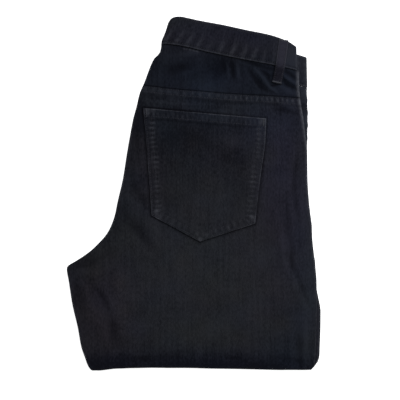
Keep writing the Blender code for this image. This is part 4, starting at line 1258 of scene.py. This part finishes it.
path = band_path()
ahead, behind = np.roll(path, -1, 0), np.roll(path, 1, 0)
run = ahead[:, :2] - behind[:, :2]
run /= np.hypot(run[:, 0], run[:, 1])[:, None]
normal = np.stack([-run[:, 1], run[:, 0]], 1)
rim = np.array(BAND_RIM) / BAND_HEIGHT
heights = np.r_[rim, np.linspace(rim[-1], 1 - rim[-1], 30)[1:-1], (1 - rim)[::-1]]
walls = np.r_[BAND_RIM_WALL, np.ones(28), BAND_RIM_WALL[::-1]]
rings, patterns, band_wear_and_highlight, band_painted_shade = [], [], [], []
band_fade_and_shading, band_tint, band_violet = [], [], []
for side in (1, -1):
    order = range(len(heights)) if side > 0 else range(len(heights) - 1, -1, -1)
    for k in order:
        half_wall = BAND_WALL / 2 * walls[k] * side
        at = path[:, 0] + half_wall * normal[:, 0]
        x, y = band_place(at, path[:, 2], heights[k])
        rise, wave = band_rise(path[:, 0], heights[k])
        rise = rise * path[:, 3] * (side > 0)
        z = support(x, y) + path[:, 1] + (half_wall + rise) * normal[:, 1]
        rings.append(np.stack([x, y, z], -1))
        patterns.append(np.stack([path[:, 0], heights[k] * BAND_HEIGHT + 0 * x], -1))
        border = min(heights[k], 1 - heights[k]) * BAND_HEIGHT
        # The rim and the right end are paler from rubbing, with painted highlights, and the ripples'
        # crests get painted highlights.
        ends = np.maximum(bump(x - 149.0, 5.0), bump(x - 137.0, 4.0))
        band_wear_and_highlight.append(0.34 * bump(border - 0.8, 1.5) + 0.25 * ends + 0.26 * np.clip(wave, 0, 1))
        band_fade_and_shading.append(fade_and_shading_at(x, y))
        band_tint.append(tint_at(x, y))
        band_violet.append(violet_at(x, y))
        # Painted shade in the ripples' troughs and along the sewn grooves.
        sewn = bump(border - BAND_STITCH, 1.5) * (0.55 if heights[k] < 0.5 else 0.2)
        band_painted_shade.append(0.45 * np.clip(-wave, 0, 1) + sewn)
count = len(path)
at = np.arange(len(rings) * count).reshape(len(rings), count)
ring_ahead, place_ahead = np.roll(at, -1, 0), np.roll(at, -1, 1)
faces = np.stack([at, place_ahead, np.roll(ring_ahead, -1, 1), ring_ahead], -1).reshape(-1, 4)
waistband = cloth_piece(
    "waistband_cloth", np.concatenate(rings), faces, np.concatenate(patterns),
    {"fade_and_shading": np.concatenate(band_fade_and_shading), "tint": np.concatenate(band_tint),
     "violet": np.concatenate(band_violet), "wear_and_highlight": np.concatenate(band_wear_and_highlight),
     "painted_shade": np.concatenate(band_painted_shade)},
    band_denim,
)
dress(waistband, "band_denim", "waistband")

# %% [markdown]
# ## Belt loop
# A belt loop is a narrow strip folded into three and sewn along both edges. Its upper end is
# caught at the band's top, it bridges the step down from the band, and its lower end is
# tacked to the yoke. It follows the faces below it, so it is a short strap along a path.

# %% Make the belt loop
LOOP_EDGE = ((-1.0, 0.30), (-0.98, 0.62), (-0.9, 0.86), (-0.8, 1.0))
LOOP_STITCH = 4.6


def loop_spine(count):
    """Points down the middle of the loop and the height of its underside."""
    lines = np.array(LOOP_PATH)
    run = np.r_[0, np.cumsum(np.hypot(*np.diff(lines[:, :2], axis=0).T))]
    at = np.linspace(0, run[-1], count)
    x, y, rise = (np.interp(at, run, lines[:, k]) for k in range(3))
    highest = np.max([cloth_relief(x + shift, y) for shift in (-5, -2.5, 0, 2.5, 5)], axis=0)
    over_yoke = soft_step((170 - y) / 14)
    return x, y, upper_face(x, y) + rise + np.maximum(highest, 0) * over_yoke, at


loop_x, loop_y, loop_under, loop_at = loop_spine(48)
run_x, run_y = np.gradient(loop_x), np.gradient(loop_y)
length = np.hypot(run_x, run_y)
run_x, run_y = run_x / length, run_y / length
half = LOOP_WIDTH / 2
profile = list(LOOP_EDGE)
profile += [(share, 1.0) for share in np.linspace(-0.7, 0.7, 11)]
profile += [(-edge_share, full) for edge_share, full in LOOP_EDGE[::-1]]
end_round = np.clip(np.minimum(loop_at, loop_at[-1] - loop_at) / 1.2, 0, 1)
end_round = 0.35 + 0.65 * np.sqrt(1 - (1 - end_round) ** 2)
outer, inner = [], []
for share, full in profile:
    off = share * half
    px, py = loop_x - off * run_y, loop_y + off * run_x
    sewn = 0.22 * bump(abs(off) - LOOP_STITCH, 0.9)
    middle = loop_under + LOOP_WALL / 2
    swell = LOOP_WALL / 2 * full * end_round
    bend = 0.25 * ripple(loop_at, 9.0, 91) * (1 - share**2)
    outer.append(np.stack([px, py, middle + swell - sewn + bend], -1))
    inner.append(np.stack([px, py, middle - swell], -1))
outer, inner = (np.array(grid).transpose(1, 0, 2) for grid in (outer, inner))
place_across = np.array([share for share, _ in profile])[None, :] + 0 * loop_at[:, None]
place_down = loop_at[:, None] + 0 * place_across
# The lower part, sloping down from the band, is painted in shade; the upper part's edges and both turned
# ends are paler from rubbing, with painted highlights.
low_part = soft_step((place_down - 30) / 10)
loop_wear_and_highlight = 0.32 * bump(1 - np.abs(place_across), 0.25) * (1 - 0.6 * low_part)
loop_wear_and_highlight += 0.55 * bump(place_down - loop_at[-1], 3.5) + 0.2 * bump(place_down, 2.5)
loop_painted_shade = 0.30 * low_part * (1 - bump(place_down - loop_at[-1], 6))
loop_fade_and_shading = 1.05 - 0.75 * low_part + 0.15 * hills(place_down, place_across, 9.0, 93)
belt_loop = wall_piece(
    "belt_loop_cloth", outer, inner, np.stack([place_across * half, -place_down], -1),
    {"fade_and_shading": loop_fade_and_shading, "tint": 0.5 + 0 * place_down, "violet": 0.7 + 0 * place_down,
     "wear_and_highlight": loop_wear_and_highlight, "painted_shade": loop_painted_shade},
    "band_denim", loop_denim, "belt_loop",
)

# %% [markdown]
# ## The far half's edge
# The left half lies below and shows as a narrow strip past the right edge: its yoke and its
# back panel. Its side seam has drawn its edge into small waves.

# %% Make the far strips
def strip_rows(high_line, low_line, count, seed):
    grids = {0.0: [], CLOTH: []}
    for share in np.linspace(0.0, 1.0, count):
        line_y = between(high_line, low_line, share)
        x_right = 149.0
        for _ in range(8):
            x_right = float(far_right(line_y(np.array(x_right))))
        turn = np.radians([80.0, 60.0, 40.0, 20.0, 0.0])
        for offset, grid in grids.items():
            reach = FAR_RADIUS - offset
            flat = np.linspace(x_right - FAR_STRIP, x_right - FAR_RADIUS, 16)
            x = np.r_[flat, x_right - FAR_RADIUS + reach * np.cos(turn)]
            depth = np.r_[0 * flat + offset, FAR_RADIUS - reach * np.sin(turn)]
            depth = np.minimum(depth, FAR_RADIUS - SEAM_GAP / 2) + CORE_DEPTH + STRIP_DROP
            y = line_y(x)
            near_edge = soft_step((x - x_right + 12) / 12)
            x = x + 0.55 * near_edge * ripple(y, 17.0, seed)
            grid.append(np.stack([x, y, upper_face(x, y) - depth]))
    return [np.array(grid).transpose(0, 2, 1) for grid in grids.values()]


def far_piece(name, high_line, low_line, count, slot, material, node):
    outer, inner = strip_rows(high_line, low_line, count, 97)
    x, y = outer[..., 0], outer[..., 1]
    edge = x[:, -1:] - x
    # The outer edge and the lower end are paler from rubbing, with painted highlights; the painted shade
    # mask darkens the strip in uneven patches along it.
    wear_and_highlight = 0.5 * bump(edge, 2.6) * (0.8 + 0.4 * hills(x, y, 9.0, 99))
    wear_and_highlight = wear_and_highlight + 0.35 * bump(y - outer[-1, :, 1], 1.6)
    piece = wall_piece(name, outer, inner, outer[..., :2],
                       {"fade_and_shading": fade_and_shading_at(x, y) + 0.4 + 0.3 * hills(x, y, 9.0, 103),
                        "tint": tint_at(x, y), "violet": 0 * x, "wear_and_highlight": wear_and_highlight,
                        "painted_shade": 0.5 * np.clip(hills(0 * x, y, 13.0, 107), 0, 1)},
                       slot, material, node)


far_piece("far_yoke_cloth", seam_row(FAR_BAND_LOW, -SEAM_GAP - 0.1),
          seam_row(FAR_YOKE_SEAM, SEAM_GAP / 2), 26, "yoke_denim", band_denim, "far_yoke")
far_piece("far_panel_cloth", seam_row(FAR_YOKE_SEAM, -SEAM_GAP / 2),
          lambda x: 55.0 + 0 * x, 44, "panel_denim", inner_denim, "far_back_panel")

# %% [markdown]
# ## The layers inside the stack
# Nothing shows of the left leg, the fronts and the lower legs but their edges, so they share
# one rounded solid here, with a groove between each layer and the next round its sides. First
# the shape of the space that they fill is worked out, between the upper leg and the leg on
# the floor.

# %% The space inside
def turned_height(x, y, row, start, steps=24):
    """Height at y of a turning face moved in by the depth of the core."""
    t = np.linspace(start, start + 1, steps)
    line = []
    for at_t in t:
        face_y, face_z, normal_y, normal_z = row(np.array(float(x)), at_t)
        line.append((float(face_y - CORE_DEPTH * normal_y), float(face_z - CORE_DEPTH * normal_z)))
    line = np.array(sorted(line))
    return float(np.interp(y, line[:, 0], line[:, 1]))


def core_top(x, y):
    if y < smooth(FOLD_LINE, x) + NOSE_ABOVE:
        return turned_height(x, y, nose_row, 0.0)
    return float(upper_face(x, y)) - CORE_DEPTH


def core_bottom(x, y):
    if y < smooth(FOLD_LINE, x) + NOSE_BELOW:
        return turned_height(x, y, nose_row, 1.0)
    if y > UNDER_TURN_START:
        return turned_height(x, y, turn_row, 0.0)
    return CORE_DEPTH


# %% [markdown]
# The seat's far half is one flattened tube, and the folded legs are three. Each is a ring of
# points that is carried down the garment, scalloped where a layer ends.

# %% Rings of the far half and of the folded legs
CORE_ROW_STEP = 7.0
LEG_TUBES = ((1.8, 1.6), (4.2, 3.4), (2.6, 2.2))
TUBE_LEVELS = (0.06, 0.2, 0.5, 0.8, 0.94)


def seat_rings():
    rings = []
    lines = [seam_row(FAR_BAND_LOW, -SEAM_GAP - 0.2)]
    lines += [slanted(FAR_BAND_LOW, y, last=30.0) for y in np.arange(152.0, -198.0, -CORE_ROW_STEP)]
    for share in np.linspace(0.15, 1.0, 7):
        reach = NOSE_ABOVE - (NOSE_ABOVE - CORE_DEPTH - 1.0) * share
        lines.append(lambda x, reach=reach: smooth(FOLD_LINE, x) + reach)
    for line_y in lines:
        x_left, x_right = -100.0, 149.0
        for _ in range(12):
            x_left = float(near_left(line_y(np.array(x_left)))) + FAR_RADIUS
            x_right = float(far_right(line_y(np.array(x_right))))
        roll = [(0.0, 0.18), (0.12, 0.5), (0.45, 0.84), (1.0, 1.0)]
        xs = [x_left + a * FAR_RADIUS for a, _ in roll]
        xs += list(np.linspace(x_left + 3 * FAR_RADIUS, x_right - FAR_STRIP - 1.0, 26))
        xs += [x_right - FAR_STRIP * a for a in (0.9, 0.7, 0.5, 0.3)]
        xs += [x_right - a * FAR_RADIUS for a, _ in roll[::-1]]
        full = [b for _, b in roll] + [1.0] * 30 + [b for _, b in roll[::-1]]
        upper, lower = [], []
        for x, level in zip(xs, full):
            y = float(line_y(np.array(x)))
            top = core_top(x, y)
            bottom = min(float(support(x, y)), top - 2.6)
            middle, half_depth = (top + bottom) / 2, (top - bottom) / 2
            z = middle + half_depth * level
            if y > STRIP_END and x > x_right - FAR_STRIP - 1.5:
                z = min(z, bottom + FAR_RADIUS - 2 * STRIP_DROP)
            upper.append((x, y, z))
            lower.append((x, y, middle - half_depth * level))
        rings.append(np.array(upper + lower[::-1]))
    return rings


def leg_rings():
    rows = [UNDER_TURN_END - CORE_DEPTH - 0.4, 126.0, 121.0]
    rows += list(np.arange(113.0, -212.0, -CORE_ROW_STEP)) + [-216.0, -221.0]
    lines = [lambda x, y=y: y + 0.0 * x for y in rows]
    lines.append(lambda x: smooth(FOLD_LINE, x) + CORE_DEPTH + 1.4)
    rings = []
    for line_y in lines:
        x_left, x_right = -100.0, 149.0
        for _ in range(12):
            x_left = float(under_left(line_y(np.array(x_left))))
            x_right = float(under_right(line_y(np.array(x_right))))

        def heights(x):
            y = float(line_y(np.array(x)))
            bottom = core_bottom(x, y)
            top = min(float(support(x, y)) - 0.1, core_top(x, y) - 0.8)
            return y, bottom, max(top, bottom + 1.2)

        ring = []
        wander = [0.8 * float(hills(np.array(10.0 * k), line_y(np.array(0.0)), 30.0, 101 + k))
                  for k in range(2 * len(LEG_TUBES))]
        for k, (left_inset, _) in reversed(list(enumerate(LEG_TUBES))):
            for level in TUBE_LEVELS[::-1]:
                x = x_left + left_inset + abs(wander[k]) + 1.6 * (1 - math.sin(math.pi * level))
                y, bottom, top = heights(x)
                ring.append((x, y, bottom + (top - bottom) * (k + level) / 3))
        for x in np.linspace(x_left + 9.0, x_right - 9.0, 24):
            y, bottom, top = heights(x)
            ring.append((x, y, bottom))
        for k, (_, right_inset) in enumerate(LEG_TUBES):
            for level in TUBE_LEVELS:
                x = x_right - right_inset - abs(wander[3 + k]) * 0.6
                x = x - 1.6 * (1 - math.sin(math.pi * level))
                y, bottom, top = heights(x)
                ring.append((x, y, bottom + (top - bottom) * (k + level) / 3))
        for x in np.linspace(x_right - 9.0, x_left + 9.0, 24):
            y, bottom, top = heights(x)
            ring.append((x, y, top))
        rings.append(np.array(ring))
    return rings


# %% Close the rings and make the piece
def ring_faces(rings):
    """Faces of the tube between the rings. Its two ends are left open."""
    count = len(rings[0])
    at = np.arange(len(rings) * count).reshape(len(rings), count)
    ahead = np.roll(at, -1, 1)
    return np.stack([ahead[:-1], at[:-1], at[1:], ahead[1:]], -1).reshape(-1, 4)


def core_piece(name, rings, cap_of, material):
    points = np.concatenate(rings)
    count = len(rings[0])
    faces = ring_faces(rings).tolist()
    last = (len(rings) - 1) * count
    for cap in cap_of(count):
        faces.append(list(cap))
        faces.append([last + place for place in cap[::-1]])
    mesh = bpy.data.meshes.new(name)
    mesh.from_pydata((points * MILLIMETRE).tolist(), [], faces)
    mesh.update()
    mesh.shade_smooth()
    corners = np.zeros(len(mesh.loops), int)
    mesh.loops.foreach_get("vertex_index", corners)
    flat = np.stack([points[:, 0] + points[:, 2], points[:, 1]], -1) * MILLIMETRE
    mesh.uv_layers.new(name="cloth").data.foreach_set("uv", flat[corners].ravel())
    rolled = np.concatenate([np.minimum(ring[:, 0] - ring[:, 0].min(),
                                        ring[:, 0].max() - ring[:, 0]) for ring in rings])
    masks = {"fade_and_shading": 0.6 + 0 * rolled, "tint": 0.4 + 0 * rolled, "violet": 0.4 + 0 * rolled,
             "wear_and_highlight": 0.3 * bump(rolled, 2.0), "painted_shade": 0 * rolled}
    for mask, values in masks.items():
        layer = mesh.attributes.new(mask, "FLOAT", "POINT")
        layer.data.foreach_set("value", values.astype(np.float32))
    mesh.materials.append(material)
    piece = bpy.data.objects.new(name, mesh)
    bpy.context.scene.collection.objects.link(piece)
    bpy.ops.object.select_all(action="DESELECT")
    piece.select_set(True)
    bpy.context.view_layer.objects.active = piece
    bpy.ops.object.mode_set(mode="EDIT")
    bpy.ops.mesh.select_all(action="SELECT")
    bpy.ops.mesh.normals_make_consistent(inside=False)
    bpy.ops.object.mode_set(mode="OBJECT")
    piece.select_set(False)
    return piece


def seat_caps(count):
    return [[i, i + 1, count - 2 - i, count - 1 - i] for i in range(count // 2 - 1)]


def leg_caps(count):
    edge, flat = len(TUBE_LEVELS) * len(LEG_TUBES), 24
    caps = [list(range(edge + 1)) + [count - 1]]
    caps += [[edge + i, edge + i + 1, count - 2 - i, count - 1 - i] for i in range(flat - 1)]
    return caps + [list(range(edge + flat - 1, 2 * edge + flat + 1))]


inner_layers = core_piece("inner_layers", seat_rings(), seat_caps, inner_denim)
dress(inner_layers, "panel_denim", "hidden_layers")
folded_legs = core_piece("folded_legs", leg_rings(), leg_caps, inner_denim)
dress(folded_legs, "panel_denim", "hidden_layers")

# %% [markdown]
# ## Thread
# One stitch is a short grain of thread that dips into the cloth at both ends. It is modelled
# once, from a six-sided rod, and then laid along every seam by arithmetic on its points. The
# copies of a row are joined in one mesh, because hundreds of objects would be slow.

# %% Model one stitch
STITCH_LENGTH = 2.5
STITCH_WIDTH = 0.62
STITCH_PITCH = 3.2

bpy.ops.mesh.primitive_cylinder_add(
    vertices=6, radius=STITCH_WIDTH / 2 * MILLIMETRE, depth=STITCH_LENGTH * MILLIMETRE
)
rod = bpy.context.object
bpy.ops.object.mode_set(mode="EDIT")
bpy.ops.mesh.select_all(action="SELECT")
bpy.ops.transform.rotate(value=math.pi / 2, orient_axis="Y", center_override=(0, 0, 0))
bpy.ops.mesh.select_all(action="DESELECT")
bpy.ops.object.mode_set(mode="OBJECT")
for edge in rod.data.edges:
    ends = [rod.data.vertices[i].co.x for i in edge.vertices]
    edge.select = abs(ends[0] - ends[1]) > MILLIMETRE
bpy.ops.object.mode_set(mode="EDIT")
bpy.ops.mesh.select_mode(type="EDGE")
bpy.ops.mesh.subdivide(number_cuts=2)
bpy.ops.mesh.select_mode(type="VERT")
bpy.ops.mesh.select_all(action="DESELECT")
bpy.ops.object.mode_set(mode="OBJECT")
for vertex in rod.data.vertices:
    vertex.select = abs(vertex.co.x) > STITCH_LENGTH * MILLIMETRE * 0.4
bpy.ops.object.mode_set(mode="EDIT")
bpy.ops.transform.resize(value=(1.0, 0.45, 0.45), center_override=(0, 0, 0))
bpy.ops.transform.translate(value=(0, 0, -0.28 * MILLIMETRE))
bpy.ops.object.mode_set(mode="OBJECT")
stitch_points = np.array([v.co for v in rod.data.vertices]) / MILLIMETRE
stitch_faces = [list(face.vertices) for face in rod.data.polygons]
bpy.data.objects.remove(rod, do_unlink=True)
print("one stitch:", len(stitch_faces), "faces")


# %% Lay stitches along a line
def points_along(line, pitch, start=0.0, stop=0.0):
    """Points one pitch apart along a line of points, with the direction at each."""
    line = np.array(line, float)
    run = np.r_[0, np.cumsum(np.hypot(*np.diff(line, axis=0).T))]
    at = np.arange(start + pitch / 2, run[-1] - stop, pitch)
    place = np.stack([np.interp(at, run, line[:, k]) for k in (0, 1)], -1)
    step = 0.4
    on = np.stack([np.interp(at + step, run, line[:, k]) for k in (0, 1)], -1)
    back = np.stack([np.interp(at - step, run, line[:, k]) for k in (0, 1)], -1)
    return place, np.arctan2(*(on - back).T[::-1])


def sew(name, rows, slot, yarn=thread):
    """Join stitches into one mesh: rows holds (places, angles, height function, length share)."""
    points, faces, first_point = [], [], 0
    for places, angles, height_at, stretch in rows:
        for (x, y), angle in zip(places, angles):
            along = np.array([math.cos(angle), math.sin(angle)])
            reach = STITCH_LENGTH / 2 * stretch
            tips = np.array([[x, y]]) + np.outer((-reach, 0, reach), along)
            z = height_at(tips[:, 0], tips[:, 1])
            tilt = (z[2] - z[0]) / (2 * reach)
            local = stitch_points * (stretch, 1.0, 1.0)
            px = x + local[:, 0] * along[0] - local[:, 1] * along[1]
            py = y + local[:, 0] * along[1] + local[:, 1] * along[0]
            pz = z[1] + local[:, 0] * tilt + local[:, 2]
            points.append(np.stack([px, py, pz], -1))
            faces += [[first_point + i for i in face] for face in stitch_faces]
            first_point += len(stitch_points)
    mesh = bpy.data.meshes.new(name)
    mesh.from_pydata((np.concatenate(points) * MILLIMETRE).tolist(), [], faces)
    mesh.update()
    mesh.shade_smooth()
    mesh.materials.append(yarn)
    piece = bpy.data.objects.new(name, mesh)
    bpy.context.scene.collection.objects.link(piece)
    dress(piece, slot)
    return piece


# %% Stitches of the yoke seam, the pocket, the band and the loop
THREAD_RISE = 0.12


def on_panel(x, y):
    return upper_face(x, y) + panel_relief(x, y) + THREAD_RISE


def on_pocket(x, y):
    return pocket_base(x, y) + CLOTH + pocket_face(x, y)[0] + THREAD_RISE


def line_below(line, offset, from_x, to_x):
    xs = np.linspace(from_x, to_x, 60)
    return np.stack([xs, smooth(line, xs) - offset], -1)


yoke_lines = [line_below(YOKE_SEAM, offset, -66.0, 136.0) for offset in (1.6, FELL_WIDTH - 1.4)]
yoke_rows = [(*points_along(line, STITCH_PITCH), on_panel, 1.0) for line in yoke_lines]
sew("yoke_seam_thread", yoke_rows, "panel_denim")


def inset_pocket(distance):
    """The pocket's sides and foot moved in by a distance, from the upper left round to the right."""
    outline = np.array(POCKET_LEFT + (POCKET_TIP,) + POCKET_RIGHT[::-1])
    runs = np.diff(outline, axis=0)
    runs /= np.hypot(*runs.T)[:, None]
    inward = np.stack([-runs[:, 1], runs[:, 0]], -1)
    moved = [outline[0] + inward[0] * distance]
    for k in range(1, len(outline) - 1):
        between_them = inward[k - 1] + inward[k]
        moved.append(outline[k] + between_them * distance / (1 + inward[k - 1] @ inward[k]))
    return np.array(moved + [outline[-1] + inward[-1] * distance])


hem_line = np.array([POCKET_LEFT[0], POCKET_RIGHT[0]]) + (0, -POCKET_HEM + 2.0)
sew(
    "pocket_thread",
    [(*points_along(inset_pocket(EDGE_STITCH), STITCH_PITCH, 1.0, 1.0), on_pocket, 1.0),
     (*points_along(inset_pocket(INNER_STITCH), STITCH_PITCH, 12.0, 12.0), on_pocket, 1.0),
     (*points_along(hem_line, STITCH_PITCH, 3.0, 3.0), on_pocket, 1.0)],
    "pocket_denim",
)

# %% Stitches on the band and the loop
def on_band(up):
    """A row of the band at a height above its seam: its places, directions and heights."""
    at = np.arange(8.0, 176.0, STITCH_PITCH)
    height = up / BAND_HEIGHT
    x, y = band_place(at, 1.0, height)
    ahead_x, ahead_y = band_place(at + 1.0, 1.0, height)
    angles = np.arctan2(ahead_y - y, ahead_x - x)

    def face(px, py):
        place_at = np.interp(px, x, at)
        rise, _ = band_rise(place_at, height)
        return support(px, py) + BAND_LEVELS[0] + BAND_WALL / 2 + rise + THREAD_RISE

    return np.stack([x, y], -1), angles, face, 1.0


band_rows = [on_band(BAND_STITCH), on_band(BAND_HEIGHT - BAND_STITCH)]
sew("waistband_thread", band_rows, "band_denim")


def on_loop(x, y):
    return np.interp(-y, -loop_y, loop_under) + LOOP_WALL + THREAD_RISE


loop_rows = []
for off in (-LOOP_STITCH, LOOP_STITCH):
    line = np.stack([loop_x - off * run_y, loop_y + off * run_x], -1)
    loop_rows.append((*points_along(line, 2.6, 2.0, 2.0), on_loop, 0.8))


def bar(middle_x, middle_y, angle, length_mm, height_at, rows_of=9, reach=0.7):
    """A bar tack: short threads packed side by side along a line."""
    along = np.array([math.cos(angle), math.sin(angle)])
    at = np.linspace(-length_mm / 2, length_mm / 2, rows_of)
    places = np.array([middle_x, middle_y]) + np.outer(at, along)
    return places, np.full(rows_of, angle + math.pi / 2), height_at, reach


loop_angle = math.atan2(loop_x[-1] - loop_x[-2], loop_y[-2] - loop_y[-1])
sew("belt_loop_thread", loop_rows, "band_denim")
bars = [bar(loop_x[-1] + 0.2, loop_y[-1] + 1.5, loop_angle, 10.5, on_loop, 17, 0.8),
        bar(loop_x[0], loop_y[0] - 1.6, loop_angle, 10.5, on_loop, 17, 0.6)]
sew("belt_loop_bars", bars, "band_denim", worn_thread)
tacks = [bar(-61.5, 106.0, -1.5, 9.0, on_pocket, 13), bar(92.0, 93.5, -1.62, 9.0, on_pocket, 13)]
sew("pocket_tacks", tacks, "pocket_denim", worn_thread)

# %% [markdown]
# ## Floor and light
# The photograph is a cut-out on white, lit softly from above and a little from beyond the
# waist, at the right, so that the creases just show. A broad soft panel and an even pale sky
# do that. A small lamp would draw hard shadows that the photograph doesn't have. The floor
# glows a little, so that no soft shadow greys it either.

# %% Make the floor and the light
FLOOR_SIDE = 6.0
FLOOR_DROP = 0.0002
FLOOR_WHITE = 0.85
FLOOR_GLOW = 0.85

bpy.ops.mesh.primitive_plane_add(size=FLOOR_SIDE, location=(0, 0, 0))
floor = bpy.context.object
floor.name = "floor"
bpy.ops.object.mode_set(mode="EDIT")
bpy.ops.mesh.subdivide(number_cuts=4)
bpy.ops.transform.translate(value=(0, 0, -FLOOR_DROP))
bpy.ops.object.mode_set(mode="OBJECT")
floor_paint = bpy.data.materials.new("floor_paint")
floor_paint.use_nodes = True
floor_shader = floor_paint.node_tree.nodes["Principled BSDF"]
set_inputs(floor_shader, {"Base Color": (*[FLOOR_WHITE] * 3, 1), "Roughness": 0.9,
                          "Specular IOR Level": 0.1, "Emission Color": (1, 1, 1, 1),
                          "Emission Strength": FLOOR_GLOW})
floor.data.materials.append(floor_paint)

SKY = 0.42
PANEL_POWER = 36.0
PANEL_PLACE = (0.55, 1.15, 1.6)
PANEL_SIDES = (1.5, 1.1)
world = bpy.data.worlds.new("studio")
world.use_nodes = True
sky = world.node_tree.nodes["Background"]
set_inputs(sky, {"Color": (0.97, 0.98, 1.0, 1), "Strength": SKY})
bpy.context.scene.world = world
bpy.ops.object.light_add(type="AREA", location=PANEL_PLACE)
lamp = bpy.context.object
lamp.name = "soft_panel"
lamp.data.shape = "RECTANGLE"
lamp.data.size, lamp.data.size_y = PANEL_SIDES
lamp.data.energy = PANEL_POWER
lamp.rotation_euler = (-lamp.location).to_track_quat("-Z", "Y").to_euler()
bpy.context.scene.view_settings.view_transform = "Standard"
